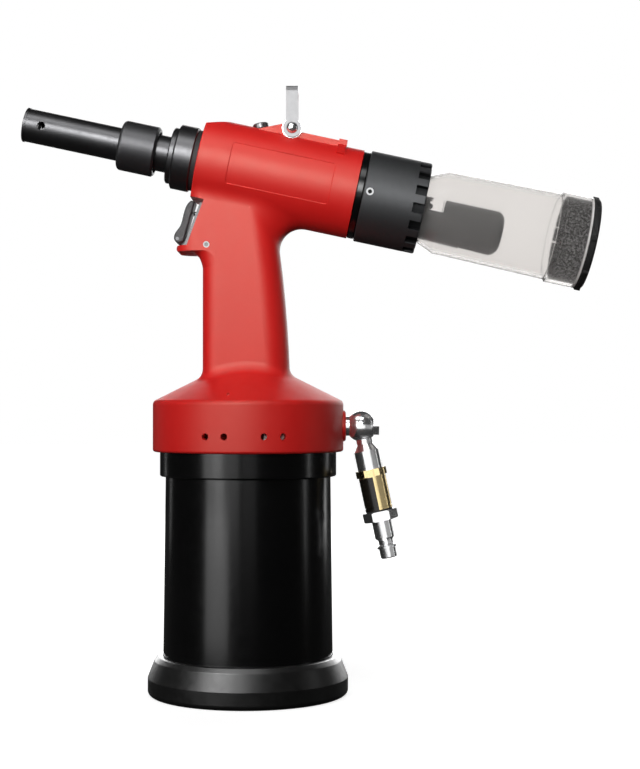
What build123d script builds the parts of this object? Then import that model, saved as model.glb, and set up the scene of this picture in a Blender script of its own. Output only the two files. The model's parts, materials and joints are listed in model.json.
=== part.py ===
from build123d import *
import os
from math import asin, atan2, cos, degrees, radians, sin, sqrt

# Lockbolt installation tool, millimetres.
# +Z is up, the nose points to -X, the bottle to +X, and the tool stands on its base at the origin.
# Pieces of the tilted head are turned about a local X axis: X runs to the rear, Z is the head's own up.

# Overall sizes
RING_BOTTOM = 144.5
GRIP_HEIGHT = 167.9
HEAD_HEIGHT = RING_BOTTOM + GRIP_HEIGHT
HEAD_TILT = 12.0
BARREL_FRONT = -29.5
BARREL_REAR = 65.7
CYLINDER_BORE = 46.5
PISTON_RADIUS = 20.0
BARREL_BORE = PISTON_RADIUS + 3.0
BARREL_RADIUS = BARREL_BORE + 3.8
UNDER_BARREL = HEAD_HEIGHT - BARREL_RADIUS

# Clearances
FIT = 0.05
CLEAR = 0.3
SEAT = 0.1
EDGE = 0.6

# Base and air cylinder
BOOT_BAND_HEIGHT = 10.5
BOOT_SHOULDER_HEIGHT = 20.6
BOOT_HEIGHT = 23.5
BOOT_FLOOR = 4.0
BOOT_EDGE = 3.0
TREAD_WIDTH = 3.0
TREAD_DEPTH = 1.0
CYLINDER_FOOT_RADIUS = CYLINDER_BORE + 4.3
CYLINDER_TOP_RADIUS = CYLINDER_BORE + 2.8
BOOT_RADIUS = CYLINDER_FOOT_RADIUS + 9.0
BOOT_SHOULDER_RADIUS = CYLINDER_FOOT_RADIUS + 5.0
TREAD_RADIUS = CYLINDER_BORE - 0.5
CYLINDER_FLANGE_RADIUS = CYLINDER_BORE + 6.2
CYLINDER_FLANGE_HEIGHT = 14.5
CYLINDER_SPIGOT_RADIUS = CYLINDER_BORE + 3.1
CYLINDER_SPIGOT_HEIGHT = 6.0
BASE_PLATE_THICKNESS = 5.0
CIRCLIP_THICKNESS = 1.6
CIRCLIP_DEPTH = 1.3
CIRCLIP_WIDTH = 3.2
CIRCLIP_GAP = 24.0

# Ring and bell of the housing
RING_RADIUS = CYLINDER_FLANGE_RADIUS + 4.3
RING_HEIGHT = 30.0
RING_EDGE = 1.6
BELL_SLOPE = 0.5
BELL_BLEND = 8.0
DOME_RADIUS = CYLINDER_BORE - 3.5
DOME_HEIGHT = 14.0
DOME_HUB_RADIUS = 19.0

# Exhaust vents and silencer
VENT_RADIUS = 2.0
VENT_HEIGHT = RING_BOTTOM + 9.8
VENT_ANGLES = (-23.0, -11.5, 11.5, 23.0)
CHAMBER_HALF_ANGLE = 40.0
CHAMBER_OUTER = RING_RADIUS - 3.5
CHAMBER_INNER = RING_RADIUS - 11.0
CHAMBER_HEIGHT = 8.5
PAD_THICKNESS = 2.6
PAD_START_ANGLE = 12.0
PAD_END_ANGLE = 37.0
SIGHT_HOLE_RADIUS = 0.8
SIGHT_HOLE_X = -9.5
SIGHT_HOLE_HEIGHT = RING_BOTTOM + RING_HEIGHT + 4.0

# Grip
GRIP_FRONT = -26.6
GRIP_REAR_LOW = 25.2
GRIP_REAR_MID = (22.4, UNDER_BARREL - 53.6)
GRIP_REAR_TOP = (12.5, UNDER_BARREL + 18.4)
GRIP_HALF_WIDTH = 19.5
GRIP_FRONT_ROUND = 9.0
GRIP_REAR_ROUND = 14.0
GRIP_START = RING_BOTTOM + 25.5
BARREL_BLEND = 1.78 * (BARREL_RADIUS - GRIP_HALF_WIDTH)

# Trigger block
GUARD_HEIGHT = UNDER_BARREL - 22.2
GUARD_TIP = -42.4
GUARD_THICKNESS = 3.4
GUARD_ROUND = 12.0
GUARD_FLARE_REACH = 7.5
GUARD_FLARE_DROP = 12.5
GUARD_LIP_ROUND = 1.6
BLOCK_FACE_LOW = (-35.6, UNDER_BARREL - 18.9)
BLOCK_FACE_HIGH = (-25.5, UNDER_BARREL + 7.9)
CHIN_TIP = (BARREL_FRONT + 0.8, 3.5 - BARREL_RADIUS)
CHIN_ROUND = 6.0

# Trigger and valve
PLATE_THICKNESS = 2.2
PLATE_GASKET = 0.5
PLATE_HALF_WIDTH = 8.5
PLATE_LENGTH = 27.0
TRIGGER_HALF_WIDTH = 8.0
TRIGGER_EDGE = 1.0
TRIGGER_FRONT = (
    (8.2, 22.7), (5.8, 20.2), (4.1, 16.0), (3.0, 11.5),
    (1.4, 7.0), (-1.3, 3.2), (-2.0, 0.6), (1.0, -3.0),
)
TRIGGER_BACK = ((3.8, -1.6), (10.6, 21.9))
TRIGGER_PIN_RADIUS = 1.0
TRIGGER_PIN_X = -42.1
TRIGGER_PIN_HEIGHT = UNDER_BARREL - 14.0
TRIGGER_REACH = 18.0
TONGUE_HALF_WIDTH = 2.5
TONGUE_RADIUS = 1.9
VALVE_RADIUS = 5.0
VALVE_LENGTH = 13.0
STEM_RADIUS = 1.5
STEM_HEAD_RADIUS = 2.6
STEM_HEAD_LENGTH = 2.0
VALVE_CHAMBER_RADIUS = 3.4
VALVE_WALL = 2.5
VALVE_SPRING_WIRE = 0.6
VALVE_SPRING_TURNS = 4.0
LOCK_SCREW_RADIUS = 1.85
LOCK_SCREW_LENGTH = 7.0
LOCK_SCREW_X = -24.0
LOCK_SCREW_HEIGHT = UNDER_BARREL - 18.7

# Barrel of the housing
BARREL_FRONT_TOP = BARREL_RADIUS - 5.6
BARREL_FRONT_EDGE = 0.8
BARREL_BEVEL_START = BARREL_FRONT + 14.3
BARREL_NOSE_HOLE = 16.6
PANEL_START = BARREL_FRONT + 19.2
PANEL_END = BARREL_REAR - 15.0
PANEL_HALF_HEIGHT = 12.0
PANEL_CORNER = 2.0
PANEL_DEPTH = 0.4

# Saddle on the barrel
RAIL_HALF_WIDTH = 10.0
RAIL_TOP = BARREL_RADIUS + 1.6
RAIL_END = BARREL_REAR - 16.1
RAMP_START = 1.3
RAMP_PEAK = (20.0, BARREL_RADIUS + 6.6)
RAMP_BACK = 25.0
RAMP_ROUND = 3.0
BAND_WIDTH = 5.0
BAND_RADIUS = BARREL_RADIUS + 1.4
BAND_BLOCK_TOP = BARREL_RADIUS + 2.7
BAND_HALF_ANGLE = 45.0

# Bail and its screws
BAIL_PIVOT = (20.7, BARREL_RADIUS + 2.7)
BAIL_TOP = HEAD_HEIGHT + 50.0
BAIL_WIDTH = 7.1
BAIL_THICKNESS = 2.0
BAIL_BEND = 3.6
BAIL_EYE_RADIUS = 5.5
BAIL_HOLE_RADIUS = 2.3
BAIL_WASHER_RADIUS = 5.9
BAIL_WASHER_THICKNESS = 0.8
BAIL_GAP = 0.1
BAIL_SCREW_HEAD_RADIUS = 3.45
BAIL_SCREW_HEAD_HEIGHT = 2.0
BAIL_SCREW_DEPTH = 4.0
EYE_RELIEF = 0.8

# Oil filler
FILLER_PLACE = (2.3, BARREL_RADIUS - 0.2)
FILLER_TILT = 22.0
FILLER_HEAD_RADIUS = 4.7
FILLER_HEAD_HEIGHT = 2.8
FILLER_SHANK_RADIUS = 3.0
FILLER_SHANK_LENGTH = 2.4
FILLER_SOCKET_RADIUS = 2.1
FILLER_SOCKET_DEPTH = 1.6
FILLER_SEAL_THICKNESS = 0.8
FILLER_SEAT_RADIUS = 5.2
OIL_PORT_RADIUS = 3.5
FILLER_PORT_RADIUS = 1.5

# Hydraulic head
ROD_RADIUS = 10.0
DRAW_ROD_RADIUS = 6.5
TAIL_RADIUS = 8.5
PINTAIL_BORE = 4.4
LINER_START = BARREL_FRONT + 7.5
GLAND_END = BARREL_FRONT + 25.5
PISTON_FACE = BARREL_FRONT + 39.5
PISTON_LENGTH = 14.0
SEAL_WIDTH = 5.0
SEAL_DEPTH = 3.0
ROD_FRONT = BARREL_FRONT - 15.5
TAIL_END = BARREL_REAR - 3.7
REAR_GLAND_START = BARREL_REAR - 9.7
REAR_BAND_RADIUS = BARREL_RADIUS - 0.4
REAR_BAND_END = BARREL_REAR + 4.3
REAR_SPIGOT_RADIUS = BARREL_BORE - 0.5
REAR_SPIGOT_END = BARREL_REAR + 16.3
RETURN_WIRE = 2.4
RETURN_COIL_RADIUS = 14.0
RETURN_TURNS = 4.0

# Ram and air piston
RAM_RADIUS = 7.5
RAM_TOP = RING_BOTTOM + 27.5
RAM_STUD_RADIUS = 4.0
RAM_TUBE_RADIUS = 12.0
RAM_TUBE_BORE = 8.0
RAM_TUBE_BOTTOM = RING_BOTTOM + 21.5
RAM_TUBE_TOP = HEAD_HEIGHT - BARREL_BORE - 5.4
RAM_BUSH_RADIUS = 13.0
RAM_BUSH_BOTTOM = RING_BOTTOM - 0.5
RAM_SEAL_WIDTH = 4.0
RAM_SEAL_DEPTH = 2.6
AIR_PISTON_GAP = 2.0
AIR_PISTON_HEIGHT = 16.0
AIR_PISTON_SEAL_WIDTH = 4.0
AIR_PISTON_SEAL_DEPTH = 4.5
GUIDE_WIDTH = 3.0
GUIDE_DEPTH = 2.0
NUT_FLATS = 13.0
NUT_HEIGHT = 5.0

# Nose
NECK_RADIUS = 10.9
COLLAR_FRONT = BARREL_FRONT - 18.5
COLLAR_STEP_RADIUS = 16.9
COLLAR_STEP_END = BARREL_FRONT - 15.0
COLLAR_RADIUS = 19.45
COLLAR_REAR = BARREL_FRONT - 3.7
COLLAR_SPIGOT_END = BARREL_FRONT + 6.5
GASKET_RADIUS = 18.3
FLANGE_RADIUS = 14.0
FLANGE_FRONT = BARREL_FRONT - 10.5
NUT_FRONT = BARREL_FRONT - 49.0
NUT_REAR = BARREL_FRONT - 26.5
NUT_RADIUS = 15.0
NUT_FRONT_WALL = 3.0
NUT_ROUND = 2.4
THREAD_RADIUS = 12.4
THREAD_LENGTH = 11.0
ANVIL_TIP = BARREL_FRONT - 107.5
ANVIL_RADIUS = 10.0
ANVIL_LIP_RADIUS = 10.35
ANVIL_LIP_WIDTH = 1.5
ANVIL_BORE = 8.0
ANVIL_FLANGE = 4.2
SWAGE_BORE = 4.5
SWAGE_LENGTH = 8.5
SWAGE_MOUTH = 1.2
CROSS_HOLE_RADIUS = 2.5
CROSS_HOLE_PLACE = ANVIL_TIP + 11.2

# Jaws
JAW_CASE_RADIUS = 7.7
JAW_CASE_FRONT = ANVIL_TIP + 13.0
JAW_CASE_REAR = ANVIL_TIP + 53.0
JAW_CASE_WALL = 1.5
JAW_CONE_FRONT_RADIUS = 3.8
JAW_CONE_START = JAW_CASE_FRONT + 2.0
JAW_CONE_END = JAW_CASE_FRONT + 18.0
JAW_LENGTH = 13.5
JAW_BORE = 1.7
JAW_SLIT = 0.6
JAW_COUNT = 3
PUSHER_LENGTH = 3.5
PUSHER_BORE = 2.6
JAW_SPRING_WIRE = 0.9
JAW_SPRING_TURNS = 4.0
DRAW_THREAD_LENGTH = 11.0

# Bottle and its collar
BOTTLE_COLLAR_RADIUS = BARREL_RADIUS + 0.7
BOTTLE_COLLAR_END = BARREL_REAR + 41.3
CROWN_LENGTH = 7.0
CROWN_NOTCHES = 16
NOTCH_ANGLE = 12.3
NOTCH_TURN = 7.9
NOTCH_FLOOR = BOTTLE_COLLAR_RADIUS - 3.0
COLLAR_SCREW_RADIUS = 2.2
COLLAR_SCREW_PLACE = BARREL_REAR + 8.1
COLLAR_SCREW_COUNT = 3
COLLAR_SOCKET_RADIUS = 1.35
COLLAR_SOCKET_DEPTH = 1.9
DEFLECTOR_FLANGE = 3.8
BAYONET_START = BARREL_REAR + 23.3
BAYONET_WIDTH = 3.5
BAYONET_DEPTH = 1.8
BAYONET_LUGS = 2
LUG_ANGLE = 24.0
BOTTLE_TWIST = 60.0
NECK_OUTER = BARREL_BORE - 2.7
NECK_START = BARREL_REAR + 22.3
BOTTLE_WALL = 1.9
SHOULDER_END = BARREL_REAR + 52.0
SHOULDER_RADIUS = NECK_OUTER + 4.6
BODY_END_RADIUS = NECK_OUTER + 6.0
BAND_START = BARREL_REAR + 121.3
BOTTLE_BAND_RADIUS = BODY_END_RADIUS + 1.3
BOTTLE_END = BAND_START + 18.2
DEFLECTOR_ROOT_RADIUS = 12.4
DEFLECTOR_ROOT_DROP = 4.6
DEFLECTOR_TIP_RADIUS = 13.8
DEFLECTOR_TIP_DROP = 5.9
DEFLECTOR_TIP = BARREL_REAR + 90.5
DEFLECTOR_ROUND = 5.5
DEFLECTOR_WALL = 1.5
DEFLECTOR_WINDOW = (BARREL_REAR + 44.8, BARREL_REAR + 54.3)
DEFLECTOR_SILL = -1.2
DEFLECTOR_LOBE_RADIUS = 1.9
DEFLECTOR_LOBES = (1.0, 8.0)
DEFLECTOR_MOUTH_START = DEFLECTOR_TIP - 24.0
DEFLECTOR_MOUTH_HEIGHT = -11.0
DEFLECTOR_MOUTH_HALF_WIDTH = 5.0
BOTTLE_SEAL_INNER = NECK_OUTER - 2.7

# Stopper
STOPPER_PLUG_START = BOTTLE_END - 15.2
STOPPER_WALL = 3.0
STOPPER_LIP_RADIUS = BOTTLE_BAND_RADIUS + 0.2
STOPPER_LIP = 4.6
STOPPER_KNOBS = 8
STOPPER_KNOB_RADIUS = 2.2
STOPPER_KNOB_RISE = 0.8
STOPPER_SLOTS = 16
STOPPER_SLOT_WIDTH = 1.2
STOPPER_SLOT_LENGTH = 3.0

# Air inlet
INLET_HEIGHT = RING_BOTTOM + 15.3
INLET_BOSS_RADIUS = 9.3
INLET_BOSS_END = RING_RADIUS + 1.5
INLET_BOSS_ROUND = 1.5
WASHER_RADIUS = 5.9
WASHER_THICKNESS = 2.0
BALL_RADIUS = 9.3
BALL_WIDTH = 14.4
BANJO_RADIUS = 4.0
BANJO_ENTRY = 10.0
BANJO_FLATS = 10.5
BANJO_HEAD = 3.2
INLET_LEAN = 12.0
TAIL_NECK_RADIUS = 4.9
TAIL_NECK_END = 11.0
TAIL_FLARE_END = 15.1
TAIL_BODY_RADIUS = 7.55
TAIL_BODY_END = 26.5
AIR_WAY_RADIUS = 3.0
LIMITER_FLATS = 16.0
LIMITER_HEX = 4.2
LIMITER_RADIUS = 8.15
LIMITER_END = 51.0
LIMITER_GROOVE = 0.5
THREAD_ENTRY = 8.0
THREAD_ENTRY_RADIUS = 5.0
NIPPLE_SEAL_THICKNESS = 1.0
NIPPLE_SEAL_RADIUS = 8.0
NIPPLE_FLATS = 18.0
NIPPLE_HEX = 5.8
NIPPLE_RADIUS = 5.9
NIPPLE_SHANK = 10.3
NIPPLE_GROOVE_RADIUS = 4.4
NIPPLE_GROOVE = 4.0
NIPPLE_FLANGE = 1.3
NIPPLE_TIP_RADIUS = 5.0
NIPPLE_TIP = 6.1
NIPPLE_BORE = 3.6

# Worked out from the sizes above
HEAD = Location((0, 0, HEAD_HEIGHT), (0, HEAD_TILT, 0))
RING_TOP = RING_BOTTOM + RING_HEIGHT
CYLINDER_TOP = RING_BOTTOM + CYLINDER_SPIGOT_HEIGHT
CYLINDER_FOOT = BOOT_FLOOR + SEAT
BASE_PLATE_BOTTOM = CYLINDER_FOOT + 1.0 + CIRCLIP_THICKNESS + 2 * SEAT
BASE_PLATE_TOP = BASE_PLATE_BOTTOM + BASE_PLATE_THICKNESS
AIR_PISTON_BOTTOM = BASE_PLATE_TOP + AIR_PISTON_GAP
AIR_PISTON_TOP = AIR_PISTON_BOTTOM + AIR_PISTON_HEIGHT
LINER_RADIUS = BARREL_BORE - FIT
COLLAR_BORE = NECK_OUTER + CLEAR
DEFLECTOR_START = REAR_SPIGOT_END + SEAT
DEFLECTOR_REAR = DEFLECTOR_START + DEFLECTOR_FLANGE
NIPPLE_START = LIMITER_END + NIPPLE_SEAL_THICKNESS
BLOCK_LEAN = degrees(
    atan2(BLOCK_FACE_HIGH[0] - BLOCK_FACE_LOW[0], BLOCK_FACE_HIGH[1] - BLOCK_FACE_LOW[1])
)


def turned(*points):
    """Solid of revolution about X from a closed outline of (along, radius) points."""
    return revolve(make_face(Polyline(*points, close=True)), Axis.X)


def upright(*points, rounds=()):
    """Solid of revolution about Z from a closed outline of (radius, height) points."""
    outline = make_face(Polyline(*points, close=True))
    for place, radius in rounds:
        outline = fillet(outline.vertices().sort_by_distance(place)[0], radius)
    return revolve(Plane.XZ * outline, Axis.Z)


def ring(start, end, outer, inner):
    """Plain ring about X."""
    return turned((start, inner), (start, outer), (end, outer), (end, inner))


def upright_ring(bottom, top, outer, inner):
    """Plain ring about Z."""
    return upright((inner, bottom), (outer, bottom), (outer, top), (inner, top))


def rod(start, end, radius):
    """Plain cylinder about X."""
    return turned((start, 0), (start, radius), (end, radius), (end, 0))


def side_prism(outline, half_width):
    """Outline drawn in the XZ plane, given the same width to both sides of it."""
    return extrude(Plane.XZ * make_face(outline), amount=half_width, both=True)


def along(start, direction, radius, length):
    """Cylinder that starts at a point and runs along a direction."""
    return extrude(Plane(origin=start, z_dir=direction) * Circle(radius), amount=length)


def coil(coil_radius, wire, turns, length):
    """Compression spring about Z, standing on the origin, with its wire inside the length."""
    path = Helix(pitch=(length - wire) / turns, height=length - wire, radius=coil_radius)
    wire_end = Plane(origin=path @ 0, z_dir=path % 0) * Circle(wire / 2)
    return Pos(0, 0, wire / 2) * sweep(wire_end, path=path, is_frenet=True)


def head_coil(coil_radius, wire, turns, start, end):
    """Compression spring about the local X axis of the head."""
    return Pos(start, 0, 0) * Rot(0, 90, 0) * coil(coil_radius, wire, turns, end - start)


def sector(inner, outer, bottom, top, start_angle, end_angle):
    """Part of an upright ring, between two angles counted from -Y towards +X."""
    profile = Plane.XZ * make_face(
        Polyline((inner, bottom), (outer, bottom), (outer, top), (inner, top), close=True)
    )
    swept = revolve(profile, Axis.Z, revolution_arc=end_angle - start_angle)
    return Rot(0, 0, start_angle - 90) * swept


def both_sides(part):
    """A part and its mirror image across the middle plane."""
    return part + mirror(part, Plane.XZ)


def head_point(place, height, side=0.0):
    """Point of the head frame, in the frame of the whole tool."""
    return (HEAD * Location((place, side, height))).position


# Frame of the trigger block's sloping face: X into the block, Z up along the face
BLOCK_FACE = Location((BLOCK_FACE_LOW[0], 0, BLOCK_FACE_LOW[1]), (0, BLOCK_LEAN, 0))
FILLER = HEAD * Location((FILLER_PLACE[0], 0, FILLER_PLACE[1]), (0, -FILLER_TILT, 0))
PIVOT = head_point(*BAIL_PIVOT)
INLET_TAIL = Location((INLET_BOSS_END + WASHER_THICKNESS + SEAT + BALL_WIDTH / 2, 0, INLET_HEIGHT),
                      (0, 180 - INLET_LEAN, 0))
BALL_CENTRE = INLET_TAIL.position


def face_place(part):
    """Part made on the block's sloping face, put in its place."""
    return BLOCK_FACE * part


# The trigger pin and the valve stem, measured on the sloping face as (depth, height up the face)
PIN_ON_FACE = (BLOCK_FACE.inverse() * Location((TRIGGER_PIN_X, 0, TRIGGER_PIN_HEIGHT))).position
STEM_UP = PIN_ON_FACE.Z + TRIGGER_REACH
PLATE_FOOT = PIN_ON_FACE.Z - TONGUE_RADIUS


def grip_column():
    """Grip with a straight front, a bowed rear and rounded corners."""
    outline = [
        Line((GRIP_FRONT, GRIP_START), (GRIP_FRONT, GRIP_REAR_TOP[1])),
        Line((GRIP_FRONT, GRIP_REAR_TOP[1]), GRIP_REAR_TOP),
        ThreePointArc(GRIP_REAR_TOP, GRIP_REAR_MID, (GRIP_REAR_LOW, GRIP_START)),
        Line((GRIP_REAR_LOW, GRIP_START), (GRIP_FRONT, GRIP_START)),
    ]
    column = side_prism(outline, GRIP_HALF_WIDTH)
    sides = column.edges().filter_by(lambda e: abs(abs(e.center().Y) - GRIP_HALF_WIDTH) < 0.01)
    column = fillet(sides.filter_by(lambda e: e.center().X > GRIP_REAR_TOP[0]), GRIP_REAR_ROUND)
    sides = column.edges().filter_by(lambda e: abs(abs(e.center().Y) - GRIP_HALF_WIDTH) < 0.01)
    return fillet(sides.filter_by(lambda e: abs(e.center().X - GRIP_FRONT) < 0.01), GRIP_FRONT_ROUND)


def bell():
    """Ring with a shallow cone that rises into the grip."""
    apex = RING_TOP + BELL_SLOPE * RING_RADIUS
    return upright(
        (0, RING_BOTTOM), (RING_RADIUS, RING_BOTTOM), (RING_RADIUS, RING_TOP), (0, apex),
        rounds=(((RING_RADIUS, RING_BOTTOM), RING_EDGE), ((RING_RADIUS, RING_TOP), 2 * RING_EDGE)),
    )


def rounded_plan(front, back, corner):
    """Plan of a block as wide as the grip, its front corners rounded."""
    plan = Rectangle(2 * (back - front), 2 * GRIP_HALF_WIDTH)
    return Pos(back, 0) * fillet(plan.vertices(), corner)


def trigger_block():
    """Block behind the trigger with its guard lip, rounded in plan."""
    top = GRIP_REAR_TOP[1]
    back = GRIP_FRONT + 2 * GRIP_FRONT_ROUND
    outline = make_face(Polyline(
        (GUARD_TIP, GUARD_HEIGHT), (GUARD_TIP, GUARD_HEIGHT + GUARD_THICKNESS), BLOCK_FACE_LOW,
        BLOCK_FACE_HIGH, (BLOCK_FACE_HIGH[0], top), (back, top), (back, GUARD_HEIGHT), close=True,
    ))
    lip = outline.vertices().filter_by(lambda v: abs(v.X - GUARD_TIP) < 0.01)
    outline = fillet(lip, GUARD_LIP_ROUND)
    block = extrude(Plane.XZ * outline, amount=GRIP_HALF_WIDTH, both=True)
    plan = Pos(0, 0, GUARD_HEIGHT) * rounded_plan(GUARD_TIP, back, GUARD_ROUND)
    return block & extrude(plan, amount=top - GUARD_HEIGHT)


def guard_flare():
    """Hollow curve from the grip's front out to the underside of the guard lip."""
    back = GRIP_FRONT + 2 * GRIP_FRONT_ROUND
    half_width = GRIP_HALF_WIDTH - FIT
    sections = []
    for angle in (0, 20, 40, 60, 80):
        reach = GUARD_FLARE_REACH * (1 - cos(radians(angle))) - SEAT
        height = GUARD_HEIGHT - GUARD_FLARE_DROP * (1 - sin(radians(angle)))
        plan = Rectangle(2 * (back - GRIP_FRONT + reach), 2 * half_width)
        sections.append(Pos(back, 0, height) * fillet(plan.vertices(), GRIP_FRONT_ROUND))
    plan = Rectangle(2 * (back - GRIP_FRONT + GUARD_FLARE_REACH), 2 * half_width)
    sections.append(Pos(back, 0, GUARD_HEIGHT + SEAT) * fillet(plan.vertices(), GRIP_FRONT_ROUND))
    front = Pos(GRIP_FRONT - GUARD_FLARE_REACH, 0, GUARD_HEIGHT) * Box(
        2 * (back - GRIP_FRONT + GUARD_FLARE_REACH) - SEAT, 3 * half_width, 4 * GUARD_FLARE_DROP)
    return loft(sections) & front


def saddle():
    """Rail on the barrel: ramp, bail boss, low rail, end block and the band that wraps down from it."""
    floor = BARREL_BORE + 1
    band_end = RAIL_END + BAND_WIDTH
    outline = make_face(Polyline(
        (RAMP_START, floor), (RAMP_START, BARREL_RADIUS - 1.5), RAMP_PEAK, (RAMP_BACK, RAMP_PEAK[1]),
        (RAMP_BACK, RAIL_TOP), (RAIL_END, RAIL_TOP), (RAIL_END, BAND_BLOCK_TOP),
        (band_end, BAND_BLOCK_TOP), (band_end, floor), close=True,
    ))
    for corner in (RAMP_PEAK, (RAMP_BACK, RAMP_PEAK[1])):
        outline = fillet(outline.vertices().sort_by_distance(corner)[0], RAMP_ROUND)
    rail = extrude(Plane.XZ * outline, amount=RAIL_HALF_WIDTH, both=True)
    band = revolve(
        make_face(Polyline((RAIL_END, floor), (RAIL_END, BAND_RADIUS), (band_end, BAND_RADIUS),
                           (band_end, floor), close=True)),
        Axis.X, revolution_arc=2 * BAND_HALF_ANGLE,
    )
    return HEAD * (rail + Rot(90 - BAND_HALF_ANGLE, 0, 0) * band)


def neck():
    """Top of the trigger block up to the chin, as wide as the grip, its front corners rounded."""
    tip = head_point(*CHIN_TIP)
    top = GRIP_REAR_TOP[1]
    back = GRIP_FRONT + 2 * GRIP_FRONT_ROUND
    body = side_prism(
        Polyline((tip.X, GUARD_HEIGHT), (tip.X, top), (back, top), (back, GUARD_HEIGHT), close=True),
        GRIP_HALF_WIDTH,
    )
    plan = Pos(0, 0, GUARD_HEIGHT) * rounded_plan(tip.X, back, CHIN_ROUND)
    return body & extrude(plan, amount=top - GUARD_HEIGHT)


def grip_and_bell():
    """Grip rising out of the bell, with the crease between them filled."""
    body = grip_column() + bell()
    low = RING_TOP + BELL_SLOPE * (RING_RADIUS - GRIP_REAR_LOW) - 3 * RING_EDGE
    crease = body.edges().filter_by(
        lambda e: low - 9 < e.center().Z < low + 9 and abs(e.center().X) < GRIP_REAR_LOW + 5
    )
    return fillet(crease, BELL_BLEND)


def grip_and_barrel():
    """Grip and neck blended all round into the barrel, the barrel then cut to its front and its chin."""
    far = 3 * BARREL_RADIUS
    body = grip_and_bell() + neck() + HEAD * rod(-far, BARREL_REAR, BARREL_RADIUS)

    def joint_line(edge):
        place = (HEAD.inverse() * Location(edge.center())).position
        return place.Z > -BARREL_RADIUS - 0.1 and 1 - far < place.X < BARREL_REAR - 1 and place.Z < -10

    body = fillet(body.edges().filter_by(joint_line), BARREL_BLEND)
    body -= HEAD * side_prism(
        Polyline((BARREL_BEVEL_START, far), (BARREL_BEVEL_START, BARREL_RADIUS),
                 (BARREL_FRONT, BARREL_FRONT_TOP), (BARREL_FRONT, -far), (-2 * far, -far),
                 (-2 * far, far), close=True),
        far,
    )
    rim = body.faces().sort_by(Axis(HEAD.position, head_point(1, 0) - HEAD.position))[0]
    body = fillet(rim.edges(), BARREL_FRONT_EDGE)
    tip = head_point(*CHIN_TIP)
    return body - side_prism(
        Polyline(BLOCK_FACE_HIGH, (tip.X, tip.Z), (tip.X - far, tip.Z), (tip.X - far, GUARD_HEIGHT),
                 (BLOCK_FACE_LOW[0], GUARD_HEIGHT), BLOCK_FACE_LOW, close=True),
        far,
    )


def housing_outside():
    """Outer form of the cast housing, all blends included."""
    body = grip_and_barrel() + trigger_block() + saddle() + guard_flare()
    boss = rod(RING_RADIUS - 8, INLET_BOSS_END, INLET_BOSS_RADIUS)
    boss = fillet(boss.edges().sort_by(Axis.X)[-1], INLET_BOSS_ROUND)
    return body + Pos(0, 0, INLET_HEIGHT) * boss


def panel_recess():
    """Shallow recess in one side of the barrel, its four edges sloping and its corners rounded."""
    floor = BARREL_RADIUS - PANEL_DEPTH
    lift = 3 * PANEL_DEPTH
    skin = turned((PANEL_START, floor), (PANEL_START - lift, floor + lift),
                  (PANEL_END + lift, floor + lift), (PANEL_END, floor))
    reach = sqrt(floor ** 2 - PANEL_HALF_HEIGHT ** 2)
    slope = atan2(PANEL_HALF_HEIGHT, reach) + radians(45)
    edge = (reach + 2 * lift * cos(slope), PANEL_HALF_HEIGHT + 2 * lift * sin(slope))
    section = Polyline(
        (0, -PANEL_HALF_HEIGHT), (reach, -PANEL_HALF_HEIGHT), (edge[0], -edge[1]), (2 * floor, -edge[1]),
        (2 * floor, edge[1]), edge, (reach, PANEL_HALF_HEIGHT), (0, PANEL_HALF_HEIGHT), close=True,
    )
    slab = extrude(Plane.YZ * make_face(section), amount=2 * (PANEL_END - PANEL_START), both=True)
    plan = RectangleRounded(PANEL_END - PANEL_START + 2 * PANEL_DEPTH,
                            2 * (PANEL_HALF_HEIGHT + PANEL_DEPTH), PANEL_CORNER)
    corners = extrude(Plane.XZ * plan, amount=2 * BARREL_RADIUS, both=True)
    return skin & slab & Pos((PANEL_START + PANEL_END) / 2, 0, 0) * corners


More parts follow.
